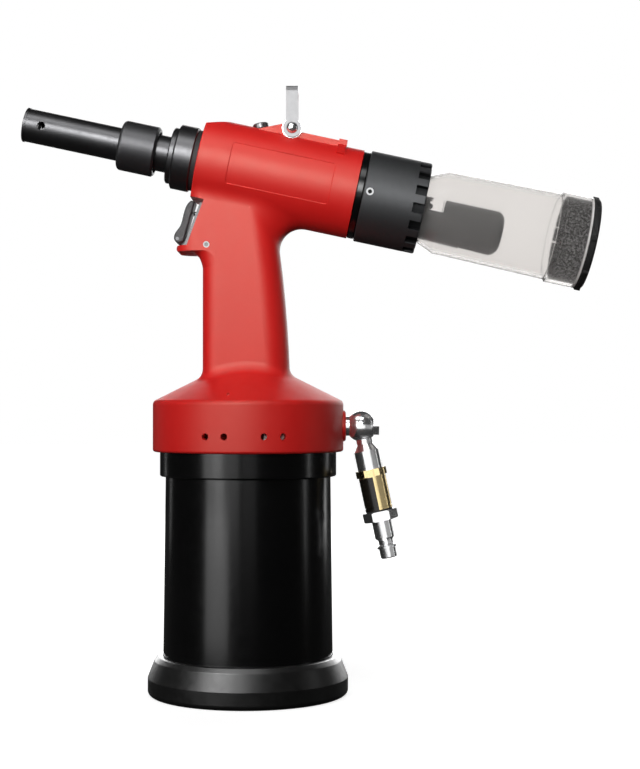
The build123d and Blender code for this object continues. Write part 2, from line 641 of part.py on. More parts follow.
def housing_cuts():
    """Everything that is bored, drilled or recessed into the housing."""
    yield HEAD * rod(LINER_START, BARREL_REAR, BARREL_BORE)
    yield HEAD * rod(BARREL_FRONT, LINER_START, BARREL_NOSE_HOLE)
    yield upright_ring(RING_BOTTOM, CYLINDER_TOP, CYLINDER_SPIGOT_RADIUS + SEAT, 0)
    yield upright_ring(CYLINDER_TOP, CYLINDER_TOP + DOME_HEIGHT, DOME_RADIUS, DOME_HUB_RADIUS)
    yield upright_ring(CYLINDER_TOP, RAM_TUBE_BOTTOM, RAM_BUSH_RADIUS + FIT, 0)
    yield upright_ring(RAM_TUBE_BOTTOM, RAM_TUBE_TOP, RAM_TUBE_RADIUS + FIT, 0)
    yield along((0, 0, RAM_TUBE_TOP), (0, 0, 1), OIL_PORT_RADIUS, HEAD_HEIGHT - RAM_TUBE_TOP)
    chamber_top = CYLINDER_TOP + CHAMBER_HEIGHT
    yield both_sides(sector(
        CHAMBER_INNER, CHAMBER_OUTER, CYLINDER_TOP, chamber_top, -CHAMBER_HALF_ANGLE, CHAMBER_HALF_ANGLE,
    ))
    reach = RING_RADIUS - (CHAMBER_OUTER - 1)
    for angle in VENT_ANGLES:
        way = (sin(radians(angle)), -cos(radians(angle)), 0)
        inner = (way[0] * (CHAMBER_OUTER - 1), way[1] * (CHAMBER_OUTER - 1), VENT_HEIGHT)
        yield both_sides(along(inner, way, VENT_RADIUS, reach + 1))
    yield along((SIGHT_HOLE_X, -RING_RADIUS, SIGHT_HOLE_HEIGHT), (0, 1, 0), SIGHT_HOLE_RADIUS, 12)
    port_start = INLET_BOSS_END - BANJO_ENTRY
    yield along((port_start, 0, INLET_HEIGHT), (1, 0, 0), BANJO_RADIUS + FIT, BANJO_ENTRY)
    yield along((DOME_RADIUS - 2, 0, INLET_HEIGHT), (1, 0, 0), AIR_WAY_RADIUS, BANJO_ENTRY)
    yield face_place(along((0, 0, STEM_UP), (1, 0, 0), VALVE_RADIUS + FIT, VALVE_LENGTH + SEAT))
    yield along((LOCK_SCREW_X, -GRIP_HALF_WIDTH, LOCK_SCREW_HEIGHT), (0, 1, 0),
                LOCK_SCREW_RADIUS + FIT, LOCK_SCREW_LENGTH)
    yield FILLER * along((0, 0, 0), (0, 0, 1), FILLER_SEAT_RADIUS, 8)
    yield FILLER * along((0, 0, -FILLER_SHANK_LENGTH - 5), (0, 0, 1), FILLER_PORT_RADIUS, 8)
    yield FILLER * along((0, 0, -FILLER_SHANK_LENGTH - SEAT), (0, 0, 1), FILLER_SHANK_RADIUS + FIT, 8)
    relief = BAIL_WASHER_RADIUS + EYE_RELIEF
    yield both_sides(along((PIVOT.X, RAIL_HALF_WIDTH, PIVOT.Z), (0, 1, 0), relief, BARREL_RADIUS))
    yield both_sides(along((PIVOT.X, RAIL_HALF_WIDTH - BAIL_SCREW_DEPTH, PIVOT.Z), (0, 1, 0),
                           BAIL_HOLE_RADIUS - SEAT + FIT, BAIL_SCREW_DEPTH))
    yield HEAD * both_sides(panel_recess())


def housing():
    body = housing_outside()
    for cut in housing_cuts():
        body -= cut
    return body


def air_cylinder():
    """Tube with a slight draft, a flange under the housing and a spigot inside it."""
    flange_bottom = RING_BOTTOM - CYLINDER_FLANGE_HEIGHT
    groove_bottom = CYLINDER_FOOT + 1.0
    groove_top = groove_bottom + CIRCLIP_THICKNESS + SEAT
    groove = CYLINDER_BORE + CIRCLIP_DEPTH
    return upright(
        (CYLINDER_BORE, CYLINDER_FOOT), (CYLINDER_FOOT_RADIUS, CYLINDER_FOOT),
        (CYLINDER_TOP_RADIUS, flange_bottom - EDGE), (CYLINDER_FLANGE_RADIUS - EDGE, flange_bottom),
        (CYLINDER_FLANGE_RADIUS, flange_bottom + EDGE), (CYLINDER_FLANGE_RADIUS, RING_BOTTOM),
        (CYLINDER_SPIGOT_RADIUS, RING_BOTTOM), (CYLINDER_SPIGOT_RADIUS, CYLINDER_TOP),
        (CYLINDER_BORE, CYLINDER_TOP), (CYLINDER_BORE, groove_top), (groove, groove_top),
        (groove, groove_bottom), (CYLINDER_BORE, groove_bottom),
    )


def base_boot():
    """Rubber cup under the cylinder, bevelled outside, with a tread groove in its flat sole."""
    inner = CYLINDER_FOOT_RADIUS + SEAT
    lip = (inner + BOOT_SHOULDER_RADIUS) / 2
    cup = upright(
        (0, 0), (BOOT_RADIUS, 0), (BOOT_RADIUS, BOOT_BAND_HEIGHT),
        (BOOT_SHOULDER_RADIUS, BOOT_SHOULDER_HEIGHT), (lip, BOOT_HEIGHT), (inner, BOOT_HEIGHT),
        (inner, BOOT_FLOOR), (0, BOOT_FLOOR),
        rounds=(((BOOT_RADIUS, 0), BOOT_EDGE), ((BOOT_SHOULDER_RADIUS, BOOT_SHOULDER_HEIGHT), 2.0),
                ((lip, BOOT_HEIGHT), 1.5)),
    )
    return cup - upright_ring(0, TREAD_DEPTH, TREAD_RADIUS + TREAD_WIDTH, TREAD_RADIUS)


def base_plate():
    return upright_ring(BASE_PLATE_BOTTOM, BASE_PLATE_TOP, CYLINDER_BORE - SEAT, 0)


def base_circlip():
    bottom = CYLINDER_FOOT + 1.0 + SEAT / 2
    outer = CYLINDER_BORE + CIRCLIP_DEPTH - SEAT
    return sector(outer - CIRCLIP_WIDTH, outer, bottom, bottom + CIRCLIP_THICKNESS,
                  CIRCLIP_GAP / 2, 360 - CIRCLIP_GAP / 2)


def silencer_pads():
    outer = CHAMBER_OUTER - SEAT
    bottom = CYLINDER_TOP + SEAT
    pad = sector(outer - PAD_THICKNESS, outer, bottom, bottom + CHAMBER_HEIGHT - 2 * SEAT,
                 PAD_START_ANGLE, PAD_END_ANGLE)
    return [pad, mirror(pad, Plane.XZ)]


def ram_bush():
    """Guide for the ram in the housing's roof, grooved for the ram's seal."""
    seal_bottom = (RAM_BUSH_BOTTOM + RAM_TUBE_BOTTOM - RAM_SEAL_WIDTH) / 2
    bush = upright_ring(RAM_BUSH_BOTTOM, RAM_TUBE_BOTTOM - SEAT, RAM_BUSH_RADIUS, RAM_RADIUS + FIT)
    return bush - upright_ring(seal_bottom, seal_bottom + RAM_SEAL_WIDTH, RAM_RADIUS + RAM_SEAL_DEPTH, 0)


def ram_seal():
    seal_bottom = (RAM_BUSH_BOTTOM + RAM_TUBE_BOTTOM - RAM_SEAL_WIDTH) / 2
    return upright_ring(seal_bottom + SEAT, seal_bottom + RAM_SEAL_WIDTH - SEAT,
                        RAM_RADIUS + RAM_SEAL_DEPTH - SEAT, RAM_RADIUS + FIT)


def ram_tube():
    return upright_ring(RAM_TUBE_BOTTOM, RAM_TUBE_TOP, RAM_TUBE_RADIUS, RAM_TUBE_BORE)


def ram():
    """Plunger with a stud at its foot for the air piston."""
    return upright(
        (0, AIR_PISTON_BOTTOM + 1), (RAM_STUD_RADIUS, AIR_PISTON_BOTTOM + 1),
        (RAM_STUD_RADIUS, AIR_PISTON_TOP), (RAM_RADIUS, AIR_PISTON_TOP), (RAM_RADIUS, RAM_TOP - 1),
        (RAM_RADIUS - 1, RAM_TOP), (0, RAM_TOP),
    )


def ram_nut():
    hexagon = RegularPolygon(NUT_FLATS / 2, 6, major_radius=False)
    nut = extrude(Pos(0, 0, AIR_PISTON_BOTTOM + 1) * hexagon, amount=NUT_HEIGHT)
    return nut - upright_ring(0, RAM_TOP, RAM_STUD_RADIUS + FIT, 0)


AIR_SEAL_BOTTOM = AIR_PISTON_BOTTOM + 3.0
GUIDE_BOTTOM = AIR_SEAL_BOTTOM + AIR_PISTON_SEAL_WIDTH + 3.0


def air_piston():
    """Disc with two ring grooves, a pocket for the nut and a hub for the ram."""
    disc = upright_ring(AIR_PISTON_BOTTOM, AIR_PISTON_TOP, CYLINDER_BORE - CLEAR, RAM_STUD_RADIUS + FIT)
    outer = CYLINDER_BORE - CLEAR
    disc -= upright_ring(AIR_SEAL_BOTTOM, AIR_SEAL_BOTTOM + AIR_PISTON_SEAL_WIDTH, outer + 1,
                         outer - AIR_PISTON_SEAL_DEPTH)
    disc -= upright_ring(GUIDE_BOTTOM, GUIDE_BOTTOM + GUIDE_WIDTH, outer + 1, outer - GUIDE_DEPTH)
    nut_top = AIR_PISTON_BOTTOM + 1 + NUT_HEIGHT
    disc -= upright_ring(AIR_PISTON_BOTTOM, nut_top, NUT_FLATS, 0)
    scoop = outer - AIR_PISTON_SEAL_DEPTH - 4
    return disc - upright_ring(AIR_PISTON_TOP - 6, AIR_PISTON_TOP, scoop, 2 * RAM_RADIUS)


def piston_seal():
    outer = CYLINDER_BORE - CLEAR
    return upright_ring(AIR_SEAL_BOTTOM + SEAT, AIR_SEAL_BOTTOM + AIR_PISTON_SEAL_WIDTH - SEAT,
                        CYLINDER_BORE - FIT, outer - AIR_PISTON_SEAL_DEPTH + SEAT)


def guide_ring():
    outer = CYLINDER_BORE - CLEAR
    return upright_ring(GUIDE_BOTTOM + SEAT, GUIDE_BOTTOM + GUIDE_WIDTH - SEAT, CYLINDER_BORE - FIT,
                        outer - GUIDE_DEPTH + SEAT)


def head_cylinder():
    """Steel liner of the barrel with its oil port below and the filler port above."""
    liner = HEAD * ring(LINER_START + SEAT, REAR_GLAND_START, LINER_RADIUS, PISTON_RADIUS)
    liner -= along((0, 0, RAM_TUBE_TOP), (0, 0, 1), OIL_PORT_RADIUS, HEAD_HEIGHT - RAM_TUBE_TOP)
    return liner - FILLER * along((0, 0, -12), (0, 0, 1), FILLER_PORT_RADIUS, 12)


GLAND_SEAL_START = (LINER_START + GLAND_END - SEAL_WIDTH) / 2


def front_gland():
    gland = ring(LINER_START + SEAT, GLAND_END, PISTON_RADIUS - FIT, ROD_RADIUS + FIT)
    groove = ring(GLAND_SEAL_START, GLAND_SEAL_START + SEAL_WIDTH, ROD_RADIUS + SEAL_DEPTH, 1)
    return HEAD * (gland - groove)


def gland_seal():
    return HEAD * ring(GLAND_SEAL_START + SEAT, GLAND_SEAL_START + SEAL_WIDTH - SEAT,
                       ROD_RADIUS + SEAL_DEPTH - SEAT, ROD_RADIUS + FIT)


PISTON_REAR = PISTON_FACE + PISTON_LENGTH
PISTON_SEAL_START = PISTON_FACE + (PISTON_LENGTH - SEAL_WIDTH) / 2


def pull_piston():
    """Hollow piston: draw rod, oil side rod, head with a seal groove, and tail."""
    head_radius = PISTON_RADIUS - FIT
    groove = head_radius - SEAL_DEPTH
    front = JAW_CASE_REAR - DRAW_THREAD_LENGTH + SEAT
    return HEAD * turned(
        (front, PINTAIL_BORE), (front, DRAW_ROD_RADIUS), (ROD_FRONT, DRAW_ROD_RADIUS),
        (ROD_FRONT, ROD_RADIUS), (PISTON_FACE, ROD_RADIUS), (PISTON_FACE, head_radius),
        (PISTON_SEAL_START, head_radius), (PISTON_SEAL_START, groove),
        (PISTON_SEAL_START + SEAL_WIDTH, groove), (PISTON_SEAL_START + SEAL_WIDTH, head_radius),
        (PISTON_REAR, head_radius), (PISTON_REAR, TAIL_RADIUS), (TAIL_END, TAIL_RADIUS),
        (TAIL_END, PINTAIL_BORE),
    )


def pull_piston_seal():
    return HEAD * ring(PISTON_SEAL_START + SEAT, PISTON_SEAL_START + SEAL_WIDTH - SEAT,
                       PISTON_RADIUS - FIT, PISTON_RADIUS - FIT - SEAL_DEPTH + SEAT)


def return_spring():
    return HEAD * head_coil(RETURN_COIL_RADIUS, RETURN_WIRE, RETURN_TURNS,
                            PISTON_REAR + SEAT, REAR_GLAND_START - SEAT)


REAR_SEAL_START = (REAR_GLAND_START + BARREL_REAR - SEAL_WIDTH) / 2


def rear_gland():
    """Plug in the barrel's rear, with the black band and the spigot for the bottle's collar."""
    inner = TAIL_RADIUS + FIT
    band = REAR_BAND_RADIUS - EDGE
    return HEAD * (turned(
        (REAR_GLAND_START + SEAT, inner), (REAR_GLAND_START + SEAT, BARREL_BORE - FIT),
        (BARREL_REAR, BARREL_BORE - FIT), (BARREL_REAR, band), (BARREL_REAR + EDGE, REAR_BAND_RADIUS),
        (REAR_BAND_END - EDGE, REAR_BAND_RADIUS), (REAR_BAND_END, band),
        (REAR_BAND_END, REAR_SPIGOT_RADIUS), (REAR_SPIGOT_END, REAR_SPIGOT_RADIUS),
        (REAR_SPIGOT_END, inner),
    ) - ring(REAR_SEAL_START, REAR_SEAL_START + SEAL_WIDTH, TAIL_RADIUS + SEAL_DEPTH, 1))


def rear_gland_seal():
    return HEAD * ring(REAR_SEAL_START + SEAT, REAR_SEAL_START + SEAL_WIDTH - SEAT,
                       TAIL_RADIUS + SEAL_DEPTH - SEAT, TAIL_RADIUS + FIT)


def front_gasket():
    return HEAD * ring(COLLAR_REAR, BARREL_FRONT, GASKET_RADIUS, BARREL_NOSE_HOLE)


def front_collar():
    """Cap nut that holds the front barrel's flange against the housing."""
    cavity = FLANGE_RADIUS + SEAT
    return HEAD * turned(
        (COLLAR_FRONT, NECK_RADIUS + SEAT), (COLLAR_FRONT, COLLAR_STEP_RADIUS - EDGE),
        (COLLAR_FRONT + EDGE, COLLAR_STEP_RADIUS), (COLLAR_STEP_END - EDGE, COLLAR_STEP_RADIUS),
        (COLLAR_STEP_END, COLLAR_RADIUS - EDGE), (COLLAR_STEP_END + EDGE, COLLAR_RADIUS),
        (COLLAR_REAR - EDGE, COLLAR_RADIUS), (COLLAR_REAR, COLLAR_RADIUS - EDGE),
        (COLLAR_REAR, BARREL_NOSE_HOLE - SEAT), (COLLAR_SPIGOT_END, BARREL_NOSE_HOLE - SEAT),
        (COLLAR_SPIGOT_END, cavity), (FLANGE_FRONT - SEAT, cavity),
        (FLANGE_FRONT - SEAT, NECK_RADIUS + SEAT),
    )


ANVIL_REAR = NUT_FRONT + NUT_FRONT_WALL + ANVIL_FLANGE


def front_barrel():
    """Tube from the housing to the nose: flange, neck and threaded end."""
    bore_step = ROD_FRONT - 2
    rod_room = ROD_RADIUS + CLEAR
    thread_end = ANVIL_REAR + SEAT + THREAD_LENGTH
    return HEAD * turned(
        (ANVIL_REAR + SEAT, ANVIL_BORE), (ANVIL_REAR + SEAT, THREAD_RADIUS), (thread_end, THREAD_RADIUS),
        (thread_end, NECK_RADIUS), (FLANGE_FRONT, NECK_RADIUS), (FLANGE_FRONT, FLANGE_RADIUS),
        (COLLAR_SPIGOT_END, FLANGE_RADIUS), (COLLAR_SPIGOT_END, rod_room), (bore_step, rod_room),
        (bore_step, ANVIL_BORE),
    )


def nose_nut():
    """Union nut that pulls the anvil's flange onto the front barrel."""
    outline = make_face(Polyline(
        (NUT_FRONT, ANVIL_RADIUS + SEAT), (NUT_FRONT, NUT_RADIUS), (NUT_REAR - 2 * EDGE, NUT_RADIUS),
        (NUT_REAR, NUT_RADIUS - 2 * EDGE), (NUT_REAR, THREAD_RADIUS + SEAT),
        (NUT_FRONT + NUT_FRONT_WALL, THREAD_RADIUS + SEAT),
        (NUT_FRONT + NUT_FRONT_WALL, ANVIL_RADIUS + SEAT), close=True,
    ))
    corner = outline.vertices().sort_by_distance((NUT_FRONT, NUT_RADIUS))[0]
    return HEAD * revolve(fillet(corner, NUT_ROUND), Axis.X)


def nose_anvil():
    """Long nose with the swaging bore at its tip and a cross hole behind it."""
    swage_end = ANVIL_TIP + SWAGE_LENGTH
    flange_front = NUT_FRONT + NUT_FRONT_WALL + SEAT
    tube = turned(
        (ANVIL_TIP, SWAGE_BORE + SWAGE_MOUTH), (ANVIL_TIP, ANVIL_LIP_RADIUS - EDGE / 2),
        (ANVIL_TIP + EDGE / 2, ANVIL_LIP_RADIUS), (ANVIL_TIP + ANVIL_LIP_WIDTH, ANVIL_LIP_RADIUS),
        (ANVIL_TIP + ANVIL_LIP_WIDTH, ANVIL_RADIUS), (flange_front, ANVIL_RADIUS),
        (flange_front, THREAD_RADIUS - SEAT), (ANVIL_REAR, THREAD_RADIUS - SEAT),
        (ANVIL_REAR, ANVIL_BORE), (swage_end, ANVIL_BORE), (swage_end, SWAGE_BORE),
        (ANVIL_TIP + SWAGE_MOUTH, SWAGE_BORE),
    )
    side = 2 * ANVIL_RADIUS
    cross = along((CROSS_HOLE_PLACE, -side, 0), (0, 1, 0), CROSS_HOLE_RADIUS, 2 * side)
    return HEAD * (tube - cross)


def jaw_case():
    """Draw case whose inner cone closes the jaws."""
    bore = JAW_CASE_RADIUS - JAW_CASE_WALL
    thread = DRAW_ROD_RADIUS + FIT
    thread_front = JAW_CASE_REAR - DRAW_THREAD_LENGTH
    return HEAD * turned(
        (JAW_CASE_FRONT, JAW_CONE_FRONT_RADIUS), (JAW_CASE_FRONT, JAW_CASE_RADIUS - EDGE),
        (JAW_CASE_FRONT + EDGE, JAW_CASE_RADIUS), (JAW_CASE_REAR, JAW_CASE_RADIUS),
        (JAW_CASE_REAR, thread), (thread_front, thread), (thread_front, bore), (JAW_CONE_END, bore),
        (JAW_CONE_START, JAW_CONE_FRONT_RADIUS),
    )


def jaws():
    """Gripping jaws: a hollow cone parted by equal slits."""
    bore = JAW_CASE_RADIUS - JAW_CASE_WALL
    slope = (bore - JAW_CONE_FRONT_RADIUS) / (JAW_CONE_END - JAW_CONE_START)
    front = JAW_CONE_START + 1
    front_radius = JAW_CONE_FRONT_RADIUS + slope - SEAT
    rear_radius = front_radius + slope * JAW_LENGTH
    cone = turned((front, JAW_BORE), (front, front_radius), (front + JAW_LENGTH, rear_radius),
                  (front + JAW_LENGTH, JAW_BORE))
    for index in range(JAW_COUNT):
        slit = Pos(front + JAW_LENGTH / 2, 0, bore) * Box(2 * JAW_LENGTH, JAW_SLIT, 2 * bore)
        cone -= Rot(360 / JAW_COUNT * index, 0, 0) * slit
    return [HEAD * piece for piece in cone.solids()]


PUSHER_START = JAW_CONE_START + 1 + JAW_LENGTH + SEAT


def jaw_pusher():
    outer = JAW_CASE_RADIUS - JAW_CASE_WALL - CLEAR
    return HEAD * ring(PUSHER_START, PUSHER_START + PUSHER_LENGTH, outer, PUSHER_BORE)


def jaw_spring():
    coil_radius = JAW_CASE_RADIUS - JAW_CASE_WALL - CLEAR - JAW_SPRING_WIRE / 2
    end = JAW_CASE_REAR - DRAW_THREAD_LENGTH
    return HEAD * head_coil(coil_radius, JAW_SPRING_WIRE, JAW_SPRING_TURNS,
                            PUSHER_START + PUSHER_LENGTH + SEAT, end)


def bottle_collar():
    """Sleeve with a notched crown outside and a bayonet groove inside."""
    shoulder = DEFLECTOR_REAR + SEAT
    wide = REAR_SPIGOT_RADIUS + SEAT
    crown = BOTTLE_COLLAR_END - CROWN_LENGTH
    sleeve = turned(
        (REAR_BAND_END, wide), (REAR_BAND_END, BOTTLE_COLLAR_RADIUS - EDGE),
        (REAR_BAND_END + EDGE, BOTTLE_COLLAR_RADIUS), (BOTTLE_COLLAR_END - EDGE, BOTTLE_COLLAR_RADIUS),
        (BOTTLE_COLLAR_END, BOTTLE_COLLAR_RADIUS - EDGE), (BOTTLE_COLLAR_END, COLLAR_BORE),
        (shoulder, COLLAR_BORE), (shoulder, wide),
    )
    groove = COLLAR_BORE + BAYONET_DEPTH
    sleeve -= ring(BAYONET_START, BAYONET_START + BAYONET_WIDTH, groove, 1)
    entry = revolve(
        make_face(Polyline((BAYONET_START, 1), (BAYONET_START, groove), (BOTTLE_COLLAR_END + 1, groove),
                           (BOTTLE_COLLAR_END + 1, 1), close=True)),
        Axis.X, revolution_arc=LUG_ANGLE + 6,
    )
    for index in range(BAYONET_LUGS):
        turn = 360 / BAYONET_LUGS * index + BOTTLE_TWIST - (LUG_ANGLE + 6) / 2
        sleeve -= Rot(turn, 0, 0) * entry
    notch = revolve(
        make_face(Polyline(
            (crown, NOTCH_FLOOR), (crown, BOTTLE_COLLAR_RADIUS + 1),
            (BOTTLE_COLLAR_END + 1, BOTTLE_COLLAR_RADIUS + 1), (BOTTLE_COLLAR_END + 1, NOTCH_FLOOR),
            close=True)),
        Axis.X, revolution_arc=NOTCH_ANGLE,
    )
    for index in range(CROWN_NOTCHES):
        sleeve -= Rot(360 / CROWN_NOTCHES * index + NOTCH_TURN - NOTCH_ANGLE / 2, 0, 0) * notch
    for index in range(COLLAR_SCREW_COUNT):
        sleeve -= Rot(360 / COLLAR_SCREW_COUNT * index, 0, 0) * along(
            (COLLAR_SCREW_PLACE, 0, 0), (0, -1, 0), COLLAR_SCREW_RADIUS + FIT, BOTTLE_COLLAR_RADIUS + 1)
    return HEAD * sleeve


def collar_screws():
    """Set screws round the collar, with a socket in each."""
    foot = REAR_SPIGOT_RADIUS + SEAT
    top = BOTTLE_COLLAR_RADIUS - SEAT
    screw = along((COLLAR_SCREW_PLACE, -foot, 0), (0, -1, 0), COLLAR_SCREW_RADIUS, top - foot)
    socket = Plane(origin=(COLLAR_SCREW_PLACE, -top, 0), z_dir=(0, 1, 0))
    screw -= extrude(socket * RegularPolygon(COLLAR_SOCKET_RADIUS, 6), amount=COLLAR_SOCKET_DEPTH)
    step = 360 / COLLAR_SCREW_COUNT
    return [HEAD * Rot(step * index, 0, 0) * screw for index in range(COLLAR_SCREW_COUNT)]


def chute(shrink):
    """Widening chute with a closed, round cornered end, thinner all round by the given amount."""
    root = DEFLECTOR_ROOT_RADIUS - shrink
    tip = DEFLECTOR_TIP_RADIUS - shrink
    start = DEFLECTOR_REAR - 1
    length = DEFLECTOR_TIP - start - shrink
    outline = make_face(Polyline((0, 0), (0, root), (length, tip), (length, 0), close=True))
    corner = outline.vertices().sort_by_distance((length, tip))[0]
    outline = fillet(corner, DEFLECTOR_ROUND - shrink)
    lean = degrees(atan2(DEFLECTOR_TIP_DROP - DEFLECTOR_ROOT_DROP, length))
    return Pos(start, 0, -DEFLECTOR_ROOT_DROP) * Rot(0, lean, 0) * revolve(outline, Axis.X)


def deflector():
    """Chute that turns broken pins down into the bottle, on a flange held by the collar."""
    flange = ring(DEFLECTOR_START, DEFLECTOR_REAR, REAR_SPIGOT_RADIUS, TAIL_RADIUS + 1)
    body = chute(0) - chute(DEFLECTOR_WALL)
    across = 2 * DEFLECTOR_TIP_RADIUS
    window_start, window_end = DEFLECTOR_WINDOW
    window = Pos((window_start + window_end) / 2, 0, DEFLECTOR_SILL + across / 2) * Box(
        window_end - window_start, across, across)
    for height in DEFLECTOR_LOBES:
        window -= along((window_start, -across, height), (0, 1, 0), DEFLECTOR_LOBE_RADIUS, 2 * across)
    body -= window
    mouth_end = DEFLECTOR_TIP + 1
    mouth_middle = (DEFLECTOR_MOUTH_START + mouth_end) / 2
    body -= Pos(mouth_middle, 0, DEFLECTOR_MOUTH_HEIGHT - across / 2) * Box(
        mouth_end - DEFLECTOR_MOUTH_START, 2 * DEFLECTOR_MOUTH_HALF_WIDTH, across)
    body -= rod(DEFLECTOR_START - 1, DEFLECTOR_REAR, across)
    return HEAD * (flange + body)


def bottle_seal():
    return HEAD * ring(DEFLECTOR_REAR + SEAT, NECK_START - SEAT, NECK_OUTER, BOTTLE_SEAL_INNER)


def bottle():
    """Clear bottle, open at both ends, with bayonet lugs on its neck."""
    def profile(shrink):
        return [
            (NECK_START, NECK_OUTER - shrink), (BOTTLE_COLLAR_END, NECK_OUTER - shrink),
            (SHOULDER_END, SHOULDER_RADIUS - shrink), (BAND_START - 1, BODY_END_RADIUS - shrink),
            (BAND_START, BOTTLE_BAND_RADIUS - shrink), (BOTTLE_END, BOTTLE_BAND_RADIUS - shrink),
        ]
    shell = turned(*profile(0), *reversed(profile(BOTTLE_WALL)))
    lug_start = BAYONET_START + CLEAR
    lug_end = BAYONET_START + BAYONET_WIDTH - CLEAR
    lug_radius = COLLAR_BORE + BAYONET_DEPTH - CLEAR
    lug = revolve(
        make_face(Polyline(
            (lug_start, NECK_OUTER - 1), (lug_start, lug_radius), (lug_end, lug_radius),
            (lug_end, NECK_OUTER - 1), close=True)),
        Axis.X, revolution_arc=LUG_ANGLE,
    )
    for index in range(BAYONET_LUGS):
        shell += Rot(360 / BAYONET_LUGS * index - LUG_ANGLE / 2, 0, 0) * lug
    return HEAD * shell


def stopper():
    """Cup shaped plug with slotted fingers inside the bottle and a knobbed lip outside."""
    plug = BOTTLE_BAND_RADIUS - BOTTLE_WALL - CLEAR
    lip_start = BOTTLE_END + SEAT
    lip_end = BOTTLE_END + STOPPER_LIP
    cup = turned(
        (STOPPER_PLUG_START, plug - STOPPER_WALL), (STOPPER_PLUG_START, plug), (lip_start, plug),
        (lip_start, STOPPER_LIP_RADIUS - EDGE), (lip_start + EDGE, STOPPER_LIP_RADIUS),
        (lip_end - 2 * EDGE, STOPPER_LIP_RADIUS), (lip_end, STOPPER_LIP_RADIUS - 2 * EDGE), (lip_end, 0),
        (lip_start, 0), (lip_start, plug - STOPPER_WALL),
    )
    knob_place = (lip_start + EDGE, 0, STOPPER_LIP_RADIUS - STOPPER_KNOB_RADIUS + STOPPER_KNOB_RISE)
    knob = along(knob_place, (1, 0, 0), STOPPER_KNOB_RADIUS, STOPPER_LIP - 2 * EDGE)
    for index in range(STOPPER_KNOBS):
        cup += Rot(360 / STOPPER_KNOBS * index, 0, 0) * knob
    slot = Pos(STOPPER_PLUG_START, 0, plug) * Box(
        2 * STOPPER_SLOT_LENGTH, STOPPER_SLOT_WIDTH, 2 * STOPPER_WALL + 1)
    for index in range(STOPPER_SLOTS):
        cup -= Rot(360 / STOPPER_SLOTS * index, 0, 0) * slot
    return HEAD * cup


def trigger_gasket():
    """Dark sheet between the bright strip and the block's face."""
    sheet = Pos(-PLATE_GASKET / 2, 0, PLATE_FOOT + PLATE_LENGTH / 2) * Box(
        PLATE_GASKET, 2 * PLATE_HALF_WIDTH, PLATE_LENGTH)
    return face_place(sheet - along((-1, 0, STEM_UP), (1, 0, 0), STEM_RADIUS + SEAT, 2))


def trigger_plate():
    """Bright strip on the block's face with a tongue for the trigger's pin."""
    reach = -PIN_ON_FACE.X
    low = PIN_ON_FACE.Z - TONGUE_RADIUS
    high = PIN_ON_FACE.Z + TONGUE_RADIUS
    strip = Pos(-PLATE_GASKET - PLATE_THICKNESS / 2, 0, PLATE_FOOT + PLATE_LENGTH / 2) * Box(
        PLATE_THICKNESS, 2 * PLATE_HALF_WIDTH, PLATE_LENGTH)
    tongue = side_prism(
        Polyline((-PLATE_GASKET, low), (-reach, low), (-reach, high), (-PLATE_GASKET, high), close=True),
        TONGUE_HALF_WIDTH,
    )
    tongue += along((-reach, -TONGUE_HALF_WIDTH, PIN_ON_FACE.Z), (0, 1, 0), TONGUE_RADIUS,
                    2 * TONGUE_HALF_WIDTH)
    plate = strip + tongue
    reach_out = 2 * PLATE_THICKNESS
    plate -= along((-reach_out, 0, STEM_UP), (1, 0, 0), STEM_RADIUS + SEAT, reach_out)
    plate -= along((-reach, -PLATE_HALF_WIDTH, PIN_ON_FACE.Z), (0, 1, 0), TRIGGER_PIN_RADIUS + FIT / 2,
                   2 * PLATE_HALF_WIDTH)
    return face_place(plate)


def trigger_pin():
    return along((TRIGGER_PIN_X, -TRIGGER_HALF_WIDTH + SEAT, TRIGGER_PIN_HEIGHT), (0, 1, 0),
                 TRIGGER_PIN_RADIUS, 2 * (TRIGGER_HALF_WIDTH - SEAT))


def from_pin(offset):
    """Point of the trigger's side outline, from its offset to the pin."""
    return (TRIGGER_PIN_X + offset[0], TRIGGER_PIN_HEIGHT + offset[1])


def trigger():
    """Finger pad with a hollow for the fingertip, slotted for the tongue at its foot."""
    front = [from_pin(offset) for offset in TRIGGER_FRONT]
    rear_low, rear_high = [from_pin(offset) for offset in TRIGGER_BACK]
    outline = [
        Spline(*front), Line(front[-1], rear_low), Line(rear_low, rear_high), Line(rear_high, front[0]),
    ]
    pad = side_prism(outline, TRIGGER_HALF_WIDTH)
    rims = pad.edges().filter_by(lambda e: abs(abs(e.center().Y) - TRIGGER_HALF_WIDTH) < 0.01)
    pad = fillet(rims, TRIGGER_EDGE)
    x, z = from_pin((0, 0))
    slot = TONGUE_RADIUS + CLEAR
    half = TONGUE_HALF_WIDTH + CLEAR
    pad -= along((x, -half, z), (0, 1, 0), slot, 2 * half)
    pad -= Pos(x + 2 * slot, 0, z) * Box(4 * slot, 2 * half, 2.6 * slot)
    pin_hole = TRIGGER_PIN_RADIUS + FIT
    return pad - along((x, -PLATE_HALF_WIDTH, z), (0, 1, 0), pin_hole, 2 * PLATE_HALF_WIDTH)


def valve_body():
    """Valve cartridge in the block, with a chamber for the stem's head and spring."""
    body = along((0, 0, STEM_UP), (1, 0, 0), VALVE_RADIUS, VALVE_LENGTH)
    chamber = VALVE_LENGTH - 2 * VALVE_WALL
    body -= along((VALVE_WALL, 0, STEM_UP), (1, 0, 0), VALVE_CHAMBER_RADIUS, chamber)
    return face_place(body - along((-1, 0, STEM_UP), (1, 0, 0), STEM_RADIUS + FIT, VALVE_WALL + 2))


